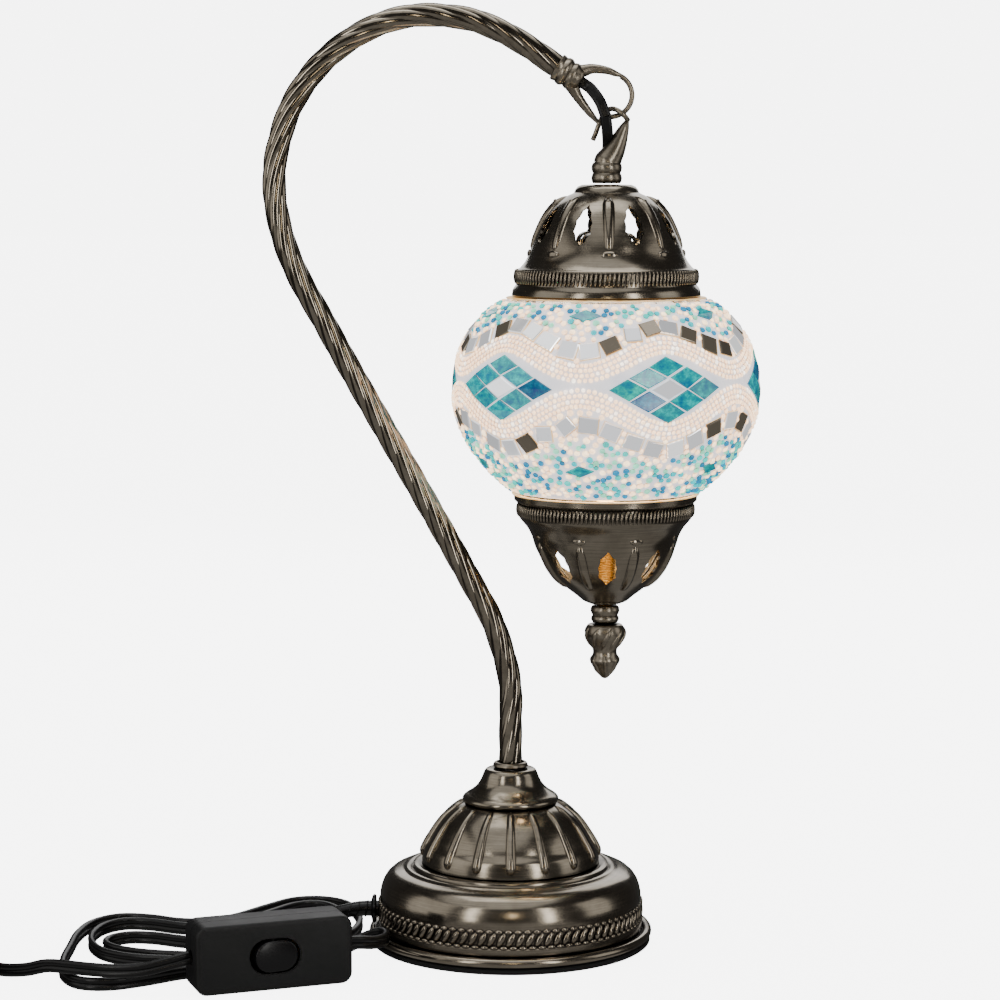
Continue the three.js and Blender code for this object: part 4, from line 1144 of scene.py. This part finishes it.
beadGlass = tintedGlass("bead glass", litGlass["beadGlow"], 0.12)
tileGlass = tintedGlass("marbled glass", litGlass["tileGlow"], 0.1, marbled=True)
grout, groutTree, groutShader = startMaterial("lit grout", Roughness=0.7,
                                              Emission_Strength=litGlass["groutGlow"])
groutCloud = addCloud(groutTree, 120.0, 4.0)
groutTone = addRamp(groutTree, groutCloud, [(0.3, (0.60, 0.60, 0.66)), (0.7, (0.76, 0.74, 0.76))])
colorFrom(groutTree, groutShader, groutTone)
addBump(groutTree, groutShader, addCloud(groutTree, 1500.0), 0.5, 0.0002)
# mirror glass with real tarnish spots; its glow in its own tint is painted light
mirrorGlass, mirrorTree, mirrorShader = startMaterial(
    "mirror glass", Metallic=1.0, Roughness=0.06, Coat_Weight=0.3, Emission_Strength=litGlass["mirrorGlow"])
mirrorTint = addNode(mirrorTree, "ShaderNodeAttribute", attribute_name="tint")
mirrorSpots = addCloud(mirrorTree, 900.0, 4.0)
tarnish = addRamp(mirrorTree, mirrorSpots, [(0.62, (0, 0, 0)), (0.72, (0.5, 0.5, 0.5))])
mirrorTone = addMix(mirrorTree, tarnish, mirrorTint.outputs["Color"], (0.28, 0.24, 0.19))
mirrorTree.links.new(mirrorTone, mirrorShader.inputs["Base Color"])
mirrorTree.links.new(mirrorTint.outputs["Color"], mirrorShader.inputs["Emission Color"])
glowEdge, glowTree, glowShader = startMaterial("glowing edge", Roughness=0.5, Emission_Strength=0.8)
glowTone = addRamp(glowTree, addCloud(glowTree, 200.0), [(0.3, (0.8, 0.42, 0.12)), (0.7, (0.95, 0.7, 0.38))])
colorFrom(glowTree, glowShader, glowTone)

inset = walled(globeLine, globeSize["grout"])[len(globeLine):2 * len(globeLine)][::-1]
groutShell = spinUp("groutShell", walled(inset, globeSize["groutWall"]), 160, shadeX)
smoothShade(groutShell, 60)
finishPiece(groutShell, grout, "shade", "mosaic", "mosaic_layer")

# room already taken, kept by cells so that only near neighbours are looked at
taken = {}
cells = {"perRadian": 22, "height": 2.9, "round": 139}


def cellOf(angle, s):
    return int(angle % (2 * math.pi) * cells["perRadian"]), int(s / cells["height"])


def reserve(angle, s, size):
    column, row = cellOf(angle, s)
    taken.setdefault((column, row), []).append((angle % (2 * math.pi), s, size))


def claim(angle, s, size):
    # True when a bead of this size has room here, and the room is then its own
    column, row = cellOf(angle, s)
    for i in (-2, -1, 0, 1, 2):
        for j in (-1, 0, 1):
            for other, otherS, otherSize in taken.get(((column + i) % cells["round"], row + j), ()):
                gap = abs(angle % (2 * math.pi) - other)
                gap = min(gap, 2 * math.pi - gap) * girth(s)
                if math.hypot(gap, s - otherS) < (size + otherSize) / 2 * 0.9:
                    return False
    reserve(angle, s, size)
    return True


# diamonds of nine marbled tiles round a mirror
diamondTiles, mirrorTiles, edges = [], [], []
halfWide, halfTall, diamondZ = globeSize["diamond"]
for angle in diamondAngles:
    for i in (-1, 0, 1):
        for j in (-1, 0, 1):
            corners = []
            for u, v in ((i - 0.46, j - 0.46), (i + 0.46, j - 0.46), (i + 0.46, j + 0.46),
                         (i - 0.46, j + 0.46)):
                u += random.uniform(-0.03, 0.03)
                v += random.uniform(-0.03, 0.03)
                corners.append(((u + v) * halfWide / 3, (v - u) * halfTall / 3))
            s = upGlobe(diamondZ)
            if i == 0 and j == 0:
                mirrorTiles.append((tileMesh(angle, s, corners), varied(tintColors["silver"], 0.05)))
            else:
                choices = [tintColors["turquoise"]] * 4 + [tintColors["teal"], tintColors["aqua"]]
                tone = varied(random.choice(choices), 0.2)
                diamondTiles.append((tileMesh(angle, s, corners), tone))

# single rhombi between the diamonds, above and below
for k, angle in enumerate(diamondAngles):
    following = (diamondAngles + [diamondAngles[0] + 2 * math.pi])[k + 1]
    angle = (angle + following) / 2
    for where in ("topRhombus", "lowRhombus"):
        wide, tall, z = globeSize[where]
        place = angle + random.uniform(-0.07, 0.05)
        corners = [(-wide, 0), (0, -tall), (wide, 0), (0, tall)]
        turn = random.uniform(-0.2, 0.2)
        diamondTiles.append((tileMesh(place, upGlobe(z), corners, turn),
                             varied(tintColors["turquoise"], 0.15)))
        for t in (-0.8, -0.55, -0.3, 0, 0.3, 0.55, 0.8):
            for lift in (-0.5, 0, 0.5):
                reserve(place + t * wide / girth(upGlobe(z)),
                        upGlobe(z) + t * wide * math.sin(turn) + lift * tall * (1 - abs(t)), 1.4)

# rows of small mirrors that follow the waves
for band in ("upperMirrors", "lowerMirrors"):
    for k in range(globeSize["mirrorsRound"]):
        angle = 2 * math.pi * (k + 0.5) / globeSize["mirrorsRound"] + random.uniform(-0.008, 0.008)
        s = bandHeight(band, angle)
        slope = (bandHeight(band, angle + 0.03) - bandHeight(band, angle - 0.03)) / (0.06 * girth(s))
        spin = math.atan(slope) + random.choice([0, 0, 0, 0.05, -0.06, random.uniform(-0.45, 0.45)])
        wide, tall = random.uniform(6.6, 7.5), random.uniform(6.2, 7.3)
        if abs(spin - math.atan(slope)) > 0.2:
            wide, tall = wide * 0.85, tall * 0.85
        corners = [(sx * wide / 2 + random.uniform(-0.2, 0.2), sy * tall / 2 + random.uniform(-0.2, 0.2))
                   for sx, sy in ((-1, -1), (1, -1), (1, 1), (-1, 1))]
        lean = (random.uniform(-0.03, 0.03), random.uniform(-0.03, 0.03))
        # painted reflections: about a third of the mirrors are tinted dark as if they reflect dark
        # surroundings, and each mirror's tint is scaled brighter or darker
        tone = tintColors["dark"] if random.random() < 0.3 else tintColors["silver"]
        shine = random.choice((0.7, 0.8, 0.9, 1.0, 1.15))
        mirrorTiles.append((tileMesh(angle, s, corners, spin, lean=lean),
                            tuple(min(c * shine, 1) for c in tone)))
        # a glowing rim under each mirror: painted lamplight round the tile's edge
        under = [(x * 1.09 + 0.1, y * 1.09 - 0.12) for x, y in corners]
        edges.append((tileMesh(angle, s, under, spin, low=-1.3, edge=-0.95, high=-0.85, inset=0.05),
                      (1, 1, 1)))
        for x in (-0.34, 0, 0.34):
            for y in (-0.34, 0, 0.34):
                reserve(angle + (x * wide * math.cos(spin) - y * tall * math.sin(spin)) / girth(s),
                        s + x * wide * math.sin(spin) + y * tall * math.cos(spin), 2.4)

# four rows of cream beads along each wave
bandBeads = []
for band in ("upperBand", "lowerBand"):
    for row in globeSize["rows"]:
        angle = 0.0
        while angle < 2 * math.pi - 0.02:
            s = bandHeight(band, angle)
            slope = (bandHeight(band, angle + 0.02) - bandHeight(band, angle - 0.02)) / (0.04 * girth(s))
            lean = math.atan(slope)
            size = globeSize["beadSize"] * random.uniform(0.9, 1.08)
            across = row * globeSize["rowGap"] + random.uniform(-0.14, 0.14)
            place = angle - across * math.sin(lean) / girth(s)
            if claim(place, s + across * math.cos(lean), size * 0.86):
                tone = varied(tintColors["cream"] if random.random() < 0.85 else tintColors["clear"], 0.07)
                bandBeads.append((beadMesh(place, s + across * math.cos(lean), size, -0.95), tone))
            angle += size * math.cos(lean) / girth(s)

# seed beads of mixed colours everywhere else
seedBeads = []
lowEdge, topEdge = upGlobe(179.2), upGlobe(253.0)
for k in range(globeSize["tries"]):
    if len(seedBeads) >= globeSize["seeds"]:
        break
    angle, s = random.uniform(0, 2 * math.pi), random.uniform(lowEdge, topEdge)
    if random.random() > girth(s) / 60.2:
        continue
    z = float(np.interp(s, alongGlobe, globeZ))
    upperHalf = s > bandHeight("upperBand", angle)
    lowerHalf = s < bandHeight("lowerBand", angle)
    if not (upperHalf or lowerHalf):
        # between the two waves only the grout round the diamonds
        continue
    if upperHalf and random.random() < 0.45:
        continue
    size = random.uniform(*globeSize["seedSizes"])
    nearMirrors = abs(s - bandHeight("upperMirrors" if upperHalf else "lowerMirrors", angle)) < 5.5
    if not claim(angle, s, size):
        continue
    names = ["cream"] * 11
    if not nearMirrors:
        names = ["cream"] * 9 + ["aqua"] * 3 + ["turquoise"] * 3 + ["teal"] * 3 + ["paleGreen"] * 3
    seedBeads.append((beadMesh(angle, s, size, -0.9, 0.72), varied(tintColors[random.choice(names)], 0.15)))

# lamplight escaping between the glass and the caps
lipGlow = fuse([spinUp("lipGlow", [(35.2, 253.75), (39.0, 253.75), (38.6, 254.1), (35.2, 254.1),
                                   (35.2, 253.75)], 120, shadeX),
                spinUp("lowGlow", [(34.2, 177.5), (36.4, 177.5), (36.6, 177.85), (34.2, 177.85),
                                   (34.2, 177.5)], 120, shadeX)])
finishPiece(lipGlow, glowEdge, "shade", "mosaic", "mosaic_layer")

gather("diamondTiles", diamondTiles, tileGlass)
gather("mirrorTiles", mirrorTiles, mirrorGlass)
gather("mirrorEdges", edges, glowEdge)
gather("bandBeads", bandBeads, beadGlass, 70)
gather("seedBeads", seedBeads, beadGlass, 70)
tileCount = len(mirrorTiles) + len(diamondTiles)
print("mosaic laid: %d beads in the waves, %d seed beads, %d tiles"
      % (len(bandBeads), len(seedBeads), tileCount))

# hidden parts keep their own meshes and get a finish
bulbGlow, bulbTree, bulbShader = startMaterial("lit bulb", Roughness=0.3, Emission_Strength=30.0)
bulbTone = addRamp(bulbTree, addCloud(bulbTree, 12.0), [(0.2, (1.0, 0.72, 0.42)), (0.8, (1.0, 0.8, 0.55))])
colorFrom(bulbTree, bulbShader, bulbTone)
clearGlass, clearTree, clearShader = startMaterial("clear glass", Transmission_Weight=1.0, IOR=1.45)
clearCloud = addCloud(clearTree, 40.0)
clearTree.links.new(addRange(clearTree, clearCloud, 0.02, 0.09), clearShader.inputs["Roughness"])
clearTone = addRamp(clearTree, clearCloud, [(0.3, (0.94, 0.96, 0.95)), (0.7, (0.98, 0.99, 0.99))])
clearTree.links.new(clearTone, clearShader.inputs["Base Color"])
leftAsMade = {
    "base_weight": rawIron, "base_rod": zincSteel, "base_nut": zincSteel, "base_washer": zincSteel,
    "top_nut": zincSteel, "gallery_nut": zincSteel, "lamp_holder": holderPlastic,
    "holder_contact": yellowBrass, "bulb_cap": zincSteel, "bulb_glass": bulbGlow, "glass_globe": clearGlass,
    "bottom_nut": yellowBrass, "switch_pin": zincSteel, "switch_spring": yellowBrass,
    "switch_terminal_left": yellowBrass, "switch_terminal_right": yellowBrass, "arm_lead": leadRubber,
}
for name, material in leftAsMade.items():
    nodes[name].data.materials.clear()
    nodes[name].data.materials.append(material)
print("hidden parts finished")

# studio
studio = {"worldLight": 0.05, "floorTone": 0.9, "backdropTone": 6.2, "floorGlow": 6.0}
clearSelection()
bpy.ops.mesh.primitive_plane_add(size=26, location=(0, 0, -0.0002))
floor = bpy.context.object
floor.name = "floor"
paleFloor, floorTree, floorShader = startMaterial("pale floor", Roughness=1.0, Specular_IOR_Level=0.0,
                                                  Emission_Strength=studio["floorGlow"])
floorCloud = addCloud(floorTree, 3.0)
floorTone = studio["floorTone"]
floorTree.links.new(addRamp(floorTree, floorCloud, [(0.2, (floorTone,) * 3), (0.8, (floorTone * 1.01,) * 3)]),
                    floorShader.inputs["Base Color"])
floor.data.materials.append(paleFloor)
floor.visible_glossy = False
floor.visible_diffuse = False
floor.visible_shadow = False
clearSelection()
bpy.ops.mesh.primitive_uv_sphere_add(segments=48, ring_count=24, radius=14, location=(0, 0, 0))
backdrop = bpy.context.object
backdrop.name = "backdrop"
paleBackdrop, _, backShader = startMaterial("pale backdrop", Roughness=1.0, Emission_Strength=1.0)
backShader.inputs["Base Color"].default_value = (0, 0, 0, 1)
backShader.inputs["Emission Color"].default_value = (studio["backdropTone"],) * 3 + (1,)
backdrop.data.materials.append(paleBackdrop)
for ray in ("visible_diffuse", "visible_glossy", "visible_transmission", "visible_shadow",
            "visible_volume_scatter"):
    setattr(backdrop, ray, False)

world = bpy.data.worlds.new("studio air")
world.use_nodes = True
world.node_tree.nodes["Background"].inputs["Color"].default_value = (1, 0.98, 0.96, 1)
world.node_tree.nodes["Background"].inputs["Strength"].default_value = studio["worldLight"]
bpy.context.scene.world = world

softboxes = {
    "sideBox": {"place": (-1.7, -0.35, 0.6), "size": (1.5, 1.6), "power": 7, "color": (1, 0.98, 0.95)},
    "leftStrip": {"place": (-0.8, -1.15, 0.5), "size": (0.22, 1.1), "power": 4.5, "color": (1, 0.98, 0.95)},
    "rightStrip": {"place": (0.8, -1.2, 0.5), "size": (0.2, 1.2), "power": 6, "color": (1, 0.98, 0.95)},
    "farRight": {"place": (1.5, -0.2, 0.5), "size": (0.8, 1.2), "power": 3, "color": (1, 0.98, 0.95)},
    "warmStrip": {"place": (0.05, -1.7, 0.62), "size": (0.1, 0.5), "power": 1.4, "color": (1, 0.84, 0.6)},
    "topBox": {"place": (0.0, 0.1, 1.3), "size": (1.0, 0.6), "power": 4, "color": (1, 1, 1)},
    "backBox": {"place": (0.1, 1.1, 0.7), "size": (1.0, 0.8), "power": 5, "color": (1, 1, 1)},
    "underBox": {"place": (0.0, -0.3, -0.6), "size": (3.0, 3.0), "power": 9, "color": (1, 0.99, 0.97)},
}
for name, box in softboxes.items():
    light = bpy.data.objects.new(name, bpy.data.lights.new(name, "AREA"))
    light.data.shape = "RECTANGLE"
    light.data.size, light.data.size_y = box["size"]
    light.data.energy = box["power"]
    light.data.color = box["color"]
    light.visible_camera = False
    light.location = box["place"]
    aim = Vector((0.0, 0.0, 0.17)) - Vector(box["place"])
    light.rotation_euler = aim.to_track_quat("-Z", "Y").to_euler()
    bpy.context.collection.objects.link(light)
sky = bpy.data.objects.new("skyLight", bpy.data.lights.new("skyLight", "SUN"))
sky.data.energy = 0.9
sky.data.angle = math.radians(70)
sky.rotation_euler = (math.radians(12), math.radians(-8), 0)
bpy.context.collection.objects.link(sky)
print("studio lit")
